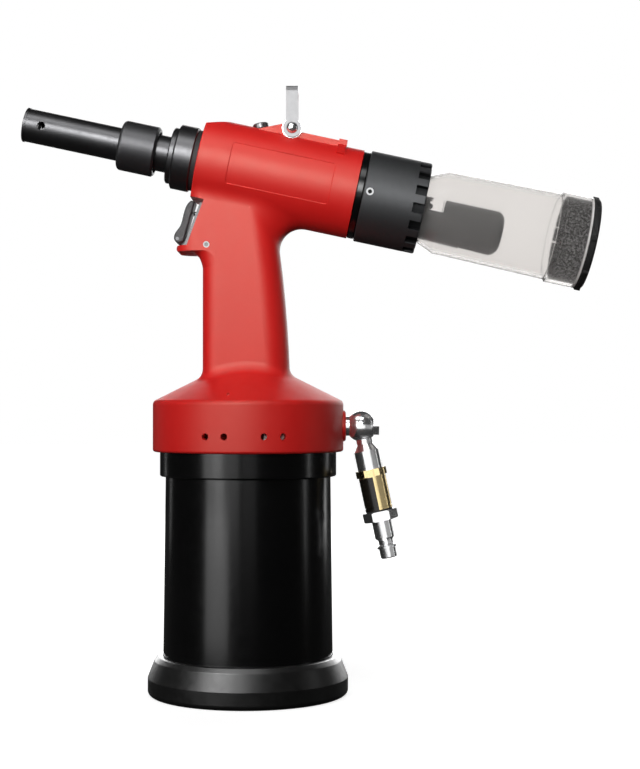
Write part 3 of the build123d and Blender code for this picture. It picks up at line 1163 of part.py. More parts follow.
def pad_gap():
    """Distance from the block's face to the back of the trigger pad, at the stem."""
    low, high = [from_pin(offset) for offset in TRIGGER_BACK]
    low = (BLOCK_FACE.inverse() * Location((low[0], 0, low[1]))).position
    high = (BLOCK_FACE.inverse() * Location((high[0], 0, high[1]))).position
    share = (STEM_UP - low.Z) / (high.Z - low.Z)
    return -(low.X + share * (high.X - low.X))


def valve_stem():
    """Push stem from the trigger to the valve's chamber, with a head that the spring pushes."""
    reach = pad_gap() - CLEAR
    stem = along((-reach, 0, STEM_UP), (1, 0, 0), STEM_RADIUS, reach + VALVE_WALL + SEAT)
    stem = fillet(stem.edges().sort_by(Axis.X)[0], STEM_RADIUS * 0.8)
    head_start = VALVE_WALL + SEAT
    stem += along((head_start, 0, STEM_UP), (1, 0, 0), STEM_HEAD_RADIUS, STEM_HEAD_LENGTH)
    return face_place(stem)


def valve_spring():
    start = VALVE_WALL + SEAT + STEM_HEAD_LENGTH + SEAT
    length = VALVE_LENGTH - VALVE_WALL - start - SEAT
    coil_radius = STEM_HEAD_RADIUS - VALVE_SPRING_WIRE / 2
    spring = coil(coil_radius, VALVE_SPRING_WIRE, VALVE_SPRING_TURNS, length)
    return face_place(Pos(start, 0, STEM_UP) * Rot(0, 90, 0) * spring)


def valve_lock_screw():
    face = (LOCK_SCREW_X, -GRIP_HALF_WIDTH + SEAT, LOCK_SCREW_HEIGHT)
    screw = along(face, (0, 1, 0), LOCK_SCREW_RADIUS, LOCK_SCREW_LENGTH - 2 * SEAT)
    socket = Plane(origin=face, z_dir=(0, 1, 0))
    return screw - extrude(socket * RegularPolygon(COLLAR_SOCKET_RADIUS, 6), amount=COLLAR_SOCKET_DEPTH)


def oil_filler_screw():
    """Flat headed plug with a socket, screwed in square to the ramp."""
    base = FILLER_SEAL_THICKNESS
    top = base + FILLER_HEAD_HEIGHT
    head_part = along((0, 0, base), (0, 0, 1), FILLER_HEAD_RADIUS, FILLER_HEAD_HEIGHT)
    head_part = chamfer(head_part.edges().sort_by(Axis.Z)[-1], EDGE)
    shank = upright_ring(-FILLER_SHANK_LENGTH, base, FILLER_SHANK_RADIUS, 0)
    socket = extrude(Pos(0, 0, top - FILLER_SOCKET_DEPTH) * RegularPolygon(FILLER_SOCKET_RADIUS, 6),
                     amount=FILLER_SOCKET_DEPTH)
    return FILLER * (head_part + shank - socket)


def filler_seal():
    hole = FILLER_SHANK_RADIUS + SEAT
    return FILLER * upright_ring(0, FILLER_SEAL_THICKNESS, FILLER_HEAD_RADIUS, hole)


def bail_washers():
    """Thin washers between the saddle and the bail's eyes."""
    face = (PIVOT.X, RAIL_HALF_WIDTH, PIVOT.Z)
    washer = along(face, (0, 1, 0), BAIL_WASHER_RADIUS, BAIL_WASHER_THICKNESS)
    washer -= along(face, (0, 1, 0), BAIL_HOLE_RADIUS, BAIL_WASHER_THICKNESS)
    return [washer, mirror(washer, Plane.XZ)]


def bail():
    """Bent strap with an eye at each foot, standing up from its screws."""
    inner = RAIL_HALF_WIDTH + BAIL_WASHER_THICKNESS + BAIL_GAP
    outer = inner + BAIL_THICKNESS
    height = BAIL_TOP - PIVOT.Z
    frame = make_face(Polyline((-outer, 0), (-outer, height), (outer, height), (outer, 0), (inner, 0),
                               (inner, height - BAIL_THICKNESS), (-inner, height - BAIL_THICKNESS),
                               (-inner, 0), close=True))
    frame = fillet(frame.vertices().filter_by(lambda v: v.Y > height - 0.01), BAIL_BEND)
    bends = frame.vertices().filter_by(lambda v: abs(v.Y - height + BAIL_THICKNESS) < 0.01)
    frame = fillet(bends, BAIL_BEND - BAIL_THICKNESS)
    strap = extrude(Plane.YZ * frame, amount=BAIL_WIDTH / 2, both=True)
    eye = along((0, inner, 0), (0, 1, 0), BAIL_EYE_RADIUS, BAIL_THICKNESS)
    strap += both_sides(eye)
    strap -= along((0, -outer, 0), (0, 1, 0), BAIL_HOLE_RADIUS, 2 * outer)
    return Pos(*PIVOT) * strap


def bail_screws():
    """Dome headed screws that carry the bail."""
    seat = RAIL_HALF_WIDTH + BAIL_WASHER_THICKNESS + 2 * BAIL_GAP + BAIL_THICKNESS
    shank_radius = BAIL_HOLE_RADIUS - SEAT
    foot = RAIL_HALF_WIDTH - BAIL_SCREW_DEPTH + SEAT
    dome = (BAIL_SCREW_HEAD_RADIUS ** 2 + BAIL_SCREW_HEAD_HEIGHT ** 2) / (2 * BAIL_SCREW_HEAD_HEIGHT)
    head_part = Pos(0, seat + BAIL_SCREW_HEAD_HEIGHT - dome, 0) * Sphere(dome)
    head_part &= along((0, seat, 0), (0, 1, 0), BAIL_SCREW_HEAD_RADIUS, BAIL_SCREW_HEAD_HEIGHT)
    screw = Pos(*PIVOT) * (head_part + along((0, foot, 0), (0, 1, 0), shank_radius, seat - foot))
    return [screw, mirror(screw, Plane.XZ)]


def port_washer():
    washer = ring(INLET_BOSS_END, INLET_BOSS_END + WASHER_THICKNESS, WASHER_RADIUS, BANJO_RADIUS + SEAT)
    return Pos(0, 0, INLET_HEIGHT) * washer


def banjo_bolt():
    """Hex bolt that the swivel turns on."""
    head_start = BALL_CENTRE.X + BALL_WIDTH / 2 + SEAT
    start = INLET_BOSS_END - BANJO_ENTRY
    bolt = rod(start, head_start, BANJO_RADIUS) - rod(start, head_start - 3, AIR_WAY_RADIUS)
    bolt -= along((BALL_CENTRE.X, 0, -2 * BANJO_RADIUS), (0, 0, 1), AIR_WAY_RADIUS / 2, 4 * BANJO_RADIUS)
    hexagon = Plane.YZ.offset(head_start) * RegularPolygon(BANJO_FLATS / 2, 6, major_radius=False)
    return Pos(0, 0, INLET_HEIGHT) * (bolt + extrude(hexagon, amount=BANJO_HEAD))


def swivel_body():
    """Ball with flat cheeks on the bolt, and a flared tail that leans outward."""
    ball = Sphere(BALL_RADIUS) & Box(BALL_WIDTH, 3 * BALL_RADIUS, 3 * BALL_RADIUS)
    tail = upright(
        (0, 0), (TAIL_NECK_RADIUS, 0), (TAIL_NECK_RADIUS, TAIL_NECK_END),
        (TAIL_BODY_RADIUS, TAIL_FLARE_END), (TAIL_BODY_RADIUS, TAIL_BODY_END), (0, TAIL_BODY_END),
    )
    air_way = upright_ring(0, TAIL_BODY_END, AIR_WAY_RADIUS, 0)
    air_way += upright_ring(TAIL_BODY_END - THREAD_ENTRY, TAIL_BODY_END, THREAD_ENTRY_RADIUS + FIT, 0)
    body = Pos(*BALL_CENTRE) * ball + INLET_TAIL * tail - INLET_TAIL * air_way
    return body - along((BALL_CENTRE.X - BALL_RADIUS, 0, INLET_HEIGHT), (1, 0, 0), BANJO_RADIUS + SEAT,
                        2 * BALL_RADIUS)


def limiter_body():
    """Brass body with a hex at its top and a fine groove near its end."""
    entry_top = TAIL_BODY_END - THREAD_ENTRY + SEAT
    entry_end = LIMITER_END - THREAD_ENTRY
    groove_end = LIMITER_END - 3 * LIMITER_GROOVE
    groove_start = groove_end - LIMITER_GROOVE
    groove_floor = LIMITER_RADIUS - LIMITER_GROOVE
    body = upright(
        (AIR_WAY_RADIUS, entry_top), (THREAD_ENTRY_RADIUS, entry_top),
        (THREAD_ENTRY_RADIUS, TAIL_BODY_END), (LIMITER_RADIUS - EDGE, TAIL_BODY_END),
        (LIMITER_RADIUS, TAIL_BODY_END + EDGE), (LIMITER_RADIUS, groove_start),
        (groove_floor, groove_start), (groove_floor, groove_end), (LIMITER_RADIUS, groove_end),
        (LIMITER_RADIUS, LIMITER_END), (THREAD_ENTRY_RADIUS + FIT, LIMITER_END),
        (THREAD_ENTRY_RADIUS + FIT, entry_end), (AIR_WAY_RADIUS, entry_end),
    )
    hexagon = RegularPolygon(LIMITER_FLATS / 2, 6, major_radius=False) - Circle(THREAD_ENTRY_RADIUS)
    return INLET_TAIL * (body + extrude(Pos(0, 0, TAIL_BODY_END) * hexagon, amount=LIMITER_HEX))


def nipple_seal():
    hole = THREAD_ENTRY_RADIUS + SEAT
    return INLET_TAIL * upright_ring(LIMITER_END, NIPPLE_START, NIPPLE_SEAL_RADIUS, hole)


def hose_nipple():
    """Quick coupling plug: hex, shank, locking groove, flange and tip."""
    hex_end = NIPPLE_START + NIPPLE_HEX
    shank_end = hex_end + NIPPLE_SHANK
    groove_end = shank_end + NIPPLE_GROOVE + 1
    flange_end = groove_end + NIPPLE_FLANGE
    tip_end = flange_end + NIPPLE_TIP
    entry = LIMITER_END - THREAD_ENTRY + SEAT
    plug = upright(
        (NIPPLE_BORE, entry), (THREAD_ENTRY_RADIUS, entry), (THREAD_ENTRY_RADIUS, NIPPLE_START),
        (NIPPLE_RADIUS, NIPPLE_START), (NIPPLE_RADIUS, shank_end),
        (NIPPLE_GROOVE_RADIUS, shank_end + 1.5), (NIPPLE_GROOVE_RADIUS, groove_end - 1),
        (NIPPLE_RADIUS, groove_end), (NIPPLE_RADIUS, flange_end),
        (NIPPLE_TIP_RADIUS, flange_end), (NIPPLE_TIP_RADIUS, tip_end - EDGE),
        (NIPPLE_TIP_RADIUS - EDGE, tip_end), (NIPPLE_BORE, tip_end),
    )
    hexagon = RegularPolygon(NIPPLE_FLATS / 2, 6, major_radius=False) - Circle(NIPPLE_BORE)
    hexagon = extrude(Pos(0, 0, NIPPLE_START) * hexagon, amount=NIPPLE_HEX)
    corner = NIPPLE_FLATS / sqrt(3)
    trim = upright(
        (0, NIPPLE_START), (corner - EDGE, NIPPLE_START), (corner, NIPPLE_START + EDGE),
        (corner, hex_end - EDGE), (corner - EDGE, hex_end), (0, hex_end),
    )
    return INLET_TAIL * (plug + (hexagon & trim))


NODES = (
    housing, front_barrel, front_collar, front_gasket, nose_nut, nose_anvil, front_gland, gland_seal,
    head_cylinder, rear_gland, rear_gland_seal, return_spring, bottle_collar, collar_screws, deflector,
    bottle_seal, air_cylinder, base_plate, base_circlip, base_boot, ram_bush, ram_seal, ram_tube,
    silencer_pads, port_washer, banjo_bolt, valve_body, valve_spring, trigger_plate, trigger_gasket,
    trigger_pin, valve_lock_screw, oil_filler_screw, filler_seal, bail_screws, bail_washers, trigger,
    valve_stem, bail, air_piston, piston_seal, guide_ring, ram, ram_nut, pull_piston, pull_piston_seal,
    jaw_case, jaws, jaw_pusher, jaw_spring, swivel_body, limiter_body, nipple_seal, hose_nipple, bottle,
    stopper,
)


def main():
    os.makedirs("parts", exist_ok=True)
    for make in NODES:
        made = make()
        pieces = made if isinstance(made, list) else made.solids()
        solid = pieces[0] if len(pieces) == 1 else Compound(pieces)
        export_step(solid, f"parts/{make.__name__}.step")


main()
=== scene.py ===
import json
import math
from typing import NamedTuple

import bpy
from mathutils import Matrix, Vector


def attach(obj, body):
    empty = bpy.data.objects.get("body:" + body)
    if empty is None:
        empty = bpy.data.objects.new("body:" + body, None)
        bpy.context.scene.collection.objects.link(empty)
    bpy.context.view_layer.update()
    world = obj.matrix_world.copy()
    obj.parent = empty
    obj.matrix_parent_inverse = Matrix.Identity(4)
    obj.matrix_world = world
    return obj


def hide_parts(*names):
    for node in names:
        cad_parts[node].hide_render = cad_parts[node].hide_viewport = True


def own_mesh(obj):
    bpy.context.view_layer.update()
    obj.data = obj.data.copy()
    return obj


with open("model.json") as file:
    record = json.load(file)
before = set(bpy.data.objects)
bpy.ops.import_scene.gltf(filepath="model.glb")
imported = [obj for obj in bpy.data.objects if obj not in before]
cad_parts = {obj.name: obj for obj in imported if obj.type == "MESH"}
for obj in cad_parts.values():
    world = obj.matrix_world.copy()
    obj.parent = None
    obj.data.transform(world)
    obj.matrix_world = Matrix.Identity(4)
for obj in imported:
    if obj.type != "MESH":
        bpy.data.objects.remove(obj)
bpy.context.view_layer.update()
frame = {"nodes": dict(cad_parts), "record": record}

nodes = frame["nodes"]
scene = bpy.context.scene


# Directions and places on the tool, in metres

FRONT = (0.0, -1.0, 0.0)
HEAD_TILT = math.radians(12.0)
HEAD_HEIGHT = 0.3124
HEAD_AXIS = (math.cos(HEAD_TILT), 0.0, -math.sin(HEAD_TILT))
INLET_LEAN = math.radians(12.0)


# Where a finish, a painted shade, a painted reflection or a painted highlight changes, in metres; the
# last three are stretches of the head's axis

# Depth below the collar's surface where the painted shade of its notch floors begins
NOTCH_SHADE_DEPTH = 0.0012
# Depth below a screw's face, and width of the change, for the painted shade of its socket
SOCKET_SHADE_EDGE = 0.0003
# Height above the limiter's lowest point, and width of the edges, for the painted dark reflection on the
# brass
PAINTED_REFLECTION_HEIGHT = 0.0199
PAINTED_REFLECTION_EDGE = 0.0002
CLEAR_BAND = (0.1885, 0.1905)
# Stretch of the head's axis where the bottle's cut rim has a painted highlight
BOTTLE_RIM_HIGHLIGHT = (0.2038, 0.2042)
STOPPER_LIP = (0.2045, 0.2055)


# Node helpers for the materials

NOISE_LOW = 0.3
NOISE_HIGH = 0.7


def fresh(name, base, metallic=0.0, roughness=0.5, specular=0.5):
    """A material with one Principled shader; returns its tree and shader too."""
    material = bpy.data.materials.new(name)
    material.use_nodes = True
    tree = material.node_tree
    shader = tree.nodes["Principled BSDF"]
    shader.inputs["Base Color"].default_value = (*base, 1.0)
    shader.inputs["Metallic"].default_value = metallic
    shader.inputs["Roughness"].default_value = roughness
    shader.inputs["Specular IOR Level"].default_value = specular
    return material, tree, shader


def own_place(tree):
    """The object's own coordinates, in metres."""
    return tree.nodes.new("ShaderNodeTexCoord").outputs["Object"]


def noise(tree, scale, detail, roughness=0.5):
    """Noise over the object's own coordinates."""
    texture = tree.nodes.new("ShaderNodeTexNoise")
    texture.inputs["Scale"].default_value = scale
    texture.inputs["Detail"].default_value = detail
    texture.inputs["Roughness"].default_value = roughness
    tree.links.new(own_place(tree), texture.inputs["Vector"])
    return texture.outputs["Fac"]


def remap(tree, value, start, end, low, high):
    """Value that goes from low to high as another goes from start to end."""
    span = tree.nodes.new("ShaderNodeMapRange")
    span.inputs["From Min"].default_value = start
    span.inputs["From Max"].default_value = end
    span.inputs["To Min"].default_value = low
    span.inputs["To Max"].default_value = high
    tree.links.new(value, span.inputs["Value"])
    return span.outputs["Result"]


def combine(tree, operation, first, second):
    """Product, difference or other step of two values, either of which may be a plain number."""
    step = tree.nodes.new("ShaderNodeMath")
    step.operation = operation
    for socket, value in zip(step.inputs, (first, second)):
        if isinstance(value, float):
            socket.default_value = value
        else:
            tree.links.new(value, socket)
    return step.outputs[0]


def vector_step(tree, operation, moving, fixed=None):
    """Outputs of a vector step on a changing vector and, where it takes two, a fixed one."""
    step = tree.nodes.new("ShaderNodeVectorMath")
    step.operation = operation
    tree.links.new(moving, step.inputs[0])
    if fixed is not None:
        step.inputs[1].default_value = fixed
    return step.outputs


def along(tree, direction, start, end, low, high):
    """Value that goes from low to high between two places along a direction."""
    reach = vector_step(tree, "DOT_PRODUCT", own_place(tree), direction)["Value"]
    return remap(tree, reach, start, end, low, high)


def along_head(tree, stretch, low, high):
    """The same over a stretch of the head's axis."""
    offset = -HEAD_HEIGHT * math.sin(HEAD_TILT)
    return along(tree, HEAD_AXIS, stretch[0] + offset, stretch[1] + offset, low, high)


def from_head_axis(tree, near, far, low, high):
    """Value that goes from low to high between two distances from the head's axis."""
    apart = vector_step(tree, "SUBTRACT", own_place(tree), (0.0, 0.0, HEAD_HEIGHT))["Vector"]
    across = vector_step(tree, "CROSS_PRODUCT", apart, HEAD_AXIS)["Vector"]
    distance = vector_step(tree, "LENGTH", across)["Value"]
    return remap(tree, distance, near, far, low, high)


def head_radius(node):
    """The largest distance of a node's points from the head's axis."""
    axis = Vector(HEAD_AXIS)
    middle = Vector((0.0, 0.0, HEAD_HEIGHT))
    return max((point.co - middle).cross(axis).length for point in nodes[node].data.vertices)


def tint(tree, shader, value, dark, light, low=0.0, high=1.0):
    """Base colour that goes from dark to light as a value goes from low to high."""
    ramp = tree.nodes.new("ShaderNodeValToRGB")
    ramp.color_ramp.elements[0].position = low
    ramp.color_ramp.elements[0].color = (*dark, 1.0)
    ramp.color_ramp.elements[1].position = high
    ramp.color_ramp.elements[1].color = (*light, 1.0)
    tree.links.new(value, ramp.inputs["Fac"])
    tree.links.new(ramp.outputs["Color"], shader.inputs["Base Color"])


def mottle(tree, shader, dark, light, scale, detail=4.0, roughness=0.5):
    """Base colour that varies between two colours in soft patches."""
    tint(tree, shader, noise(tree, scale, detail, roughness), dark, light, NOISE_LOW, NOISE_HIGH)


def polish(tree, shader, low, high, scale, detail=4.0):
    """Roughness that varies between two values in soft patches."""
    value = remap(tree, noise(tree, scale, detail), NOISE_LOW, NOISE_HIGH, low, high)
    tree.links.new(value, shader.inputs["Roughness"])


def grain(tree, shader, height, strength, scale, detail=3.0, roughness=0.5):
    """Fine surface relief of the given height in metres."""
    bump = tree.nodes.new("ShaderNodeBump")
    bump.inputs["Strength"].default_value = strength
    bump.inputs["Distance"].default_value = height
    tree.links.new(noise(tree, scale, detail, roughness), bump.inputs["Height"])
    tree.links.new(bump.outputs["Normal"], shader.inputs["Normal"])


# Finishes

def red_paint():
    """Paint of the casting, with a slightly warm sheen."""
    material, tree, shader = fresh("red_paint", (0.64, 0.008, 0.008), roughness=0.48, specular=0.72)
    shader.inputs["Specular Tint"].default_value = (1.0, 0.93, 0.76, 1.0)
    mottle(tree, shader, dark=(0.625, 0.0075, 0.0075), light=(0.655, 0.0085, 0.0085), scale=22.0)
    polish(tree, shader, low=0.45, high=0.51, scale=160.0)
    grain(tree, shader, height=0.00003, strength=0.2, scale=1400.0, detail=2.0)
    return material


def black_gloss():
    """Glossy black of the air cylinder and the rear gland."""
    material, tree, shader = fresh("black_gloss", (0.0015, 0.0015, 0.0016), roughness=0.2, specular=0.62)
    mottle(tree, shader, (0.0012, 0.0012, 0.0013), (0.0022, 0.0022, 0.0024), scale=60.0, detail=3.0)
    polish(tree, shader, low=0.18, high=0.23, scale=240.0, detail=5.0)
    return material


def boot_rubber():
    """Black rubber of the base boot."""
    material, tree, shader = fresh("boot_rubber", (0.002, 0.002, 0.002), roughness=0.36, specular=0.85)
    mottle(tree, shader, (0.0015, 0.0015, 0.0015), (0.003, 0.003, 0.003), scale=90.0, detail=5.0)
    polish(tree, shader, low=0.32, high=0.42, scale=300.0)
    grain(tree, shader, height=0.00005, strength=0.3, scale=2600.0)
    return material


def black_steel():
    """Blackened steel of the nose and the trigger pin."""
    material, tree, shader = fresh("black_steel", (0.12, 0.12, 0.124), metallic=1.0, roughness=0.38)
    mottle(tree, shader, dark=(0.11, 0.11, 0.114), light=(0.13, 0.13, 0.134), scale=70.0)
    polish(tree, shader, low=0.35, high=0.41, scale=420.0)
    grain(tree, shader, height=0.00002, strength=0.3, scale=1500.0, detail=2.0)
    return material


def dark_collar():
    """Satin collar with painted shade on the floors of its notches."""
    material, tree, shader = fresh("dark_collar", (0.085, 0.087, 0.090), metallic=0.85, roughness=0.54)
    radius = head_radius("bottle_collar")
    # Painted shade: the notch floors, deeper than the collar's surface, take a much darker colour
    notch_shade_clear = from_head_axis(tree, radius - NOTCH_SHADE_DEPTH, radius - NOTCH_SHADE_DEPTH / 2, 0.0, 1.0)
    tint(tree, shader, notch_shade_clear, dark=(0.022, 0.023, 0.024), light=(0.085, 0.087, 0.090))
    polish(tree, shader, low=0.50, high=0.57, scale=350.0)
    grain(tree, shader, height=0.00004, strength=0.4, scale=2400.0)
    return material


def satin_steel():
    """Duller blackened steel of the nose nut."""
    material, tree, shader = fresh("satin_steel", (0.10, 0.10, 0.104), metallic=0.9, roughness=0.46)
    mottle(tree, shader, dark=(0.094, 0.094, 0.098), light=(0.106, 0.106, 0.110), scale=60.0)
    polish(tree, shader, low=0.43, high=0.49, scale=350.0)
    grain(tree, shader, height=0.00004, strength=0.4, scale=2400.0)
    return material


def seal_rubber():
    """Matt black rubber of the seals."""
    material, tree, shader = fresh("seal_rubber", (0.015, 0.015, 0.015), roughness=0.6)
    grain(tree, shader, height=0.00004, strength=0.5, scale=2500.0)
    return material


def bright_steel():
    """Ground steel of the trigger plate, the springs and the inner pieces."""
    material, tree, shader = fresh("bright_steel", (0.30, 0.30, 0.306), metallic=1.0, roughness=0.28)
    polish(tree, shader, low=0.22, high=0.36, scale=500.0)
    grain(tree, shader, height=0.00002, strength=0.3, scale=900.0)
    return material


def chrome():
    """Plating of the inlet pieces and of the bail's screws and washers."""
    material, tree, shader = fresh("chrome", (0.88, 0.88, 0.89), metallic=0.95, roughness=0.2)
    mottle(tree, shader, dark=(0.84, 0.84, 0.85), light=(0.92, 0.92, 0.93), scale=90.0)
    polish(tree, shader, low=0.17, high=0.24, scale=600.0)
    return material


def bright_zinc():
    """Plated steel of the bail."""
    material, tree, shader = fresh("bright_zinc", (0.66, 0.66, 0.67), metallic=1.0, roughness=0.34)
    mottle(tree, shader, dark=(0.63, 0.63, 0.64), light=(0.69, 0.69, 0.70), scale=300.0)
    polish(tree, shader, low=0.32, high=0.37, scale=500.0)
    return material


def screw_zinc(name, socket, place_face):
    """Zinc screw with painted shade in its socket; place_face makes a value that is one at its face."""
    material, tree, shader = fresh(name, (0.80, 0.80, 0.81), metallic=1.0, roughness=0.34)
    # Painted shade: the socket takes the darker colour given as socket, the face keeps the zinc
    tint(tree, shader, place_face(tree), dark=(socket, socket, socket), light=(0.80, 0.80, 0.81))
    polish(tree, shader, low=0.32, high=0.37, scale=500.0)
    return material


def collar_screw_zinc():
    """Screws round the collar, with deep painted shade in their sockets."""
    deep = head_radius("collar_screws") - SOCKET_SHADE_EDGE
    return screw_zinc(
        "collar_screw_zinc", 0.04, lambda tree: from_head_axis(tree, deep - SOCKET_SHADE_EDGE, deep, 0.0, 1.0)
    )


def lock_screw_zinc():
    """Screw in the trigger block, with lighter painted shade in its socket."""
    deep = max(-point.co.y for point in nodes["valve_lock_screw"].data.vertices) - SOCKET_SHADE_EDGE
    return screw_zinc(
        "lock_screw_zinc", 0.40, lambda tree: along(tree, FRONT, deep - SOCKET_SHADE_EDGE, deep, 0.0, 1.0)
    )


def dark_plug():
    """Darker plated steel of the filler screw."""
    material, tree, shader = fresh("dark_plug", (0.2, 0.2, 0.205), metallic=0.9, roughness=0.3)
    polish(tree, shader, low=0.24, high=0.38, scale=500.0)
    return material


def brass():
    """Polished brass with a painted dark reflection, a plain black patch that is not metal, round the
    left side of its round part.
    """
    material, tree, shader = fresh("brass", (0.84, 0.66, 0.34), metallic=1.0, roughness=0.2)
    across = Vector((math.cos(INLET_LEAN), 0.0, math.sin(INLET_LEAN)))
    down = Vector((math.sin(INLET_LEAN), 0.0, -math.cos(INLET_LEAN)))
    points = [point.co for point in nodes["limiter_body"].data.vertices]
    sides = [point.dot(across) for point in points]
    middle = (min(sides) + max(sides)) / 2
    top = max(point.dot(down) for point in points) - PAINTED_REFLECTION_HEIGHT
    # Painted reflection: the left half below that height is black and not metal, a dark reflection
    # painted on
    left = along(tree, across, middle - PAINTED_REFLECTION_EDGE, middle + PAINTED_REFLECTION_EDGE, 1.0, 0.0)
    below = along(tree, down, top - PAINTED_REFLECTION_EDGE, top + PAINTED_REFLECTION_EDGE, 0.0, 1.0)
    painted_reflection = combine(tree, "MULTIPLY", left, below)
    tint(tree, shader, painted_reflection, (0.84, 0.66, 0.34), (0.010, 0.008, 0.006), low=0.4, high=0.6)
    tree.links.new(combine(tree, "SUBTRACT", 1.0, painted_reflection), shader.inputs["Metallic"])
    polish(tree, shader, low=0.14, high=0.28, scale=700.0)
    return material


def light_alloy():
    """Bare alloy of the air piston, the base plate and the front gland."""
    material, tree, shader = fresh("light_alloy", (0.62, 0.62, 0.64), metallic=1.0, roughness=0.34)
    polish(tree, shader, low=0.28, high=0.42, scale=400.0)
    return material


def guide_plastic():
    """Ivory plastic of the guide ring."""
    material, tree, shader = fresh("guide_plastic", (0.75, 0.73, 0.68), roughness=0.5)
    grain(tree, shader, height=0.00003, strength=0.4, scale=2000.0)
    return material


def felt():
    """Grey felt of the silencer pads."""
    material, tree, shader = fresh("felt", (0.32, 0.32, 0.31), roughness=0.95)
    mottle(tree, shader, (0.16, 0.16, 0.155), (0.48, 0.48, 0.46), scale=2200.0, detail=5.0, roughness=0.7)
    grain(tree, shader, height=0.0003, strength=0.9, scale=3200.0, detail=4.0, roughness=0.7)
    return material


def trigger_plastic():
    """Grey moulded plastic of the trigger."""
    material, tree, shader = fresh("trigger_plastic", (0.04, 0.04, 0.043), roughness=0.5)
    mottle(tree, shader, (0.033, 0.033, 0.036), (0.052, 0.052, 0.055), scale=300.0, detail=5.0)
    grain(tree, shader, height=0.00005, strength=0.5, scale=3000.0)
    return material


def deflector_plastic():
    """Dark moulded plastic inside the bottle."""
    material, tree, shader = fresh("deflector_plastic", (0.06, 0.06, 0.061), roughness=0.5)
    mottle(tree, shader, dark=(0.050, 0.050, 0.051), light=(0.070, 0.070, 0.071), scale=120.0)
    grain(tree, shader, height=0.00004, strength=0.4, scale=2500.0)
    return material


def clear_plastic():
    """Milky over the chamber, clear over the stopper, with a painted white highlight at the cut rim."""
    material, tree, shader = fresh("clear_plastic", (0.885, 0.866, 0.85), roughness=0.15)
    shader.inputs["IOR"].default_value = 1.22
    wall = along_head(tree, CLEAR_BAND, 0.96, 0.985)
    # Painted highlight: less light passes at the cut rim, so it shows white
    rim_highlight = along_head(tree, BOTTLE_RIM_HIGHLIGHT, 1.0, 0.25)
    tree.links.new(combine(tree, "MULTIPLY", wall, rim_highlight), shader.inputs["Transmission Weight"])
    tree.links.new(along_head(tree, CLEAR_BAND, 0.15, 0.06), shader.inputs["Roughness"])
    return material


def stopper_plastic():
    """Speckled plug with a plain dark lip."""
    material, tree, shader = fresh("stopper_plastic", (0.05, 0.05, 0.053), roughness=0.7)
    speckle = noise(tree, scale=800.0, detail=4.0, roughness=0.7)
    lip = along_head(tree, STOPPER_LIP, 0.0, 0.35)
    value = combine(tree, "SUBTRACT", speckle, lip)
    tint(tree, shader, value, (0.012, 0.012, 0.012), (0.23, 0.23, 0.234), low=0.44, high=0.64)
    grain(tree, shader, height=0.0002, strength=0.7, scale=1800.0, detail=5.0, roughness=0.7)
    return material


FINISHES = {
    "red_paint": red_paint,
    "black_gloss": black_gloss,
    "boot_rubber": boot_rubber,
    "black_steel": black_steel,
    "dark_collar": dark_collar,
    "satin_steel": satin_steel,
    "seal_black": seal_rubber,
    "steel": bright_steel,
    "chrome": chrome,
    "zinc": bright_zinc,
    "collar_screw_zinc": collar_screw_zinc,
    "lock_screw_zinc": lock_screw_zinc,
    "plug_dark": dark_plug,
    "brass": brass,
    "light_alloy": light_alloy,
    "guide_plastic": guide_plastic,
    "felt": felt,
    "trigger_plastic": trigger_plastic,
    "deflector_plastic": deflector_plastic,
    "clear_plastic": clear_plastic,
    "stopper_plastic": stopper_plastic,
}

OTHER_FINISHES = {
    "bail": "zinc",
    "trigger_plate": "steel",
    "nose_nut": "satin_steel",
    "trigger_pin": "black_steel",
    "valve_lock_screw": "lock_screw_zinc",
    "collar_screws": "collar_screw_zinc",
    "rear_gland": "black_gloss",
}


def paint_nodes():
    """Every CAD node gets the finish of its material slot, or the one named for it."""
    made = {slot: make() for slot, make in FINISHES.items()}
    for part in frame["record"]["subparts"]:
        mesh = nodes[part["node"]].data
        mesh.materials.clear()
        mesh.materials.append(made[OTHER_FINISHES.get(part["node"], part["material_slot"])])


paint_nodes()


# Springs, each with the joint that presses it

SPRINGS = (
    ("return_coil", "return_spring", "pull_stroke"),
    ("valve_coil", "valve_spring", "valve_open"),
)


def add_springs():
    """Each coil is a copy of its node's mesh, made a piece of its own on the tool, and the node is
    hidden.
    """
    for name, node, joint in SPRINGS:
        coil = bpy.data.objects.new(name, nodes[node].data.copy())
        scene.collection.objects.link(coil)
        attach(coil, "tool")
        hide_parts(node)
        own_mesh(coil)


add_springs()


# Camera, at the photograph's place

FOCAL_LENGTH = 74.9
SENSOR_WIDTH = 36.0
CLIP_START = 0.01
CAMERA_PLACE = (0.043, -0.960, 0.1724)
CAMERA_PITCH = 0.73


def add_camera():
    """Camera in front of the tool, turned up a little from level."""
    data = bpy.data.cameras.new("camera")
    data.lens = FOCAL_LENGTH
    data.sensor_width = SENSOR_WIDTH
    data.clip_start = CLIP_START
    camera = bpy.data.objects.new("camera", data)
    camera.location = CAMERA_PLACE
    camera.rotation_euler = (math.radians(90.0 + CAMERA_PITCH), 0.0, 0.0)
    scene.collection.objects.link(camera)
    scene.camera = camera


add_camera()


# World and floor

WHITE = (1.0, 1.0, 1.0, 1.0)
MIRRORED_SHARE = 0.015
WORLD_LIGHT = 0.015
FLOOR_HALF = 6.0
FLOOR_COLOUR = (0.55, 0.55, 0.55, 1.0)
UNSEEN_FLOOR_COLOUR = (0.02, 0.02, 0.02, 1.0)
GLOW_REACH = (0.10, 0.60)
GLOW_STRENGTH = (0.80, 1.0)


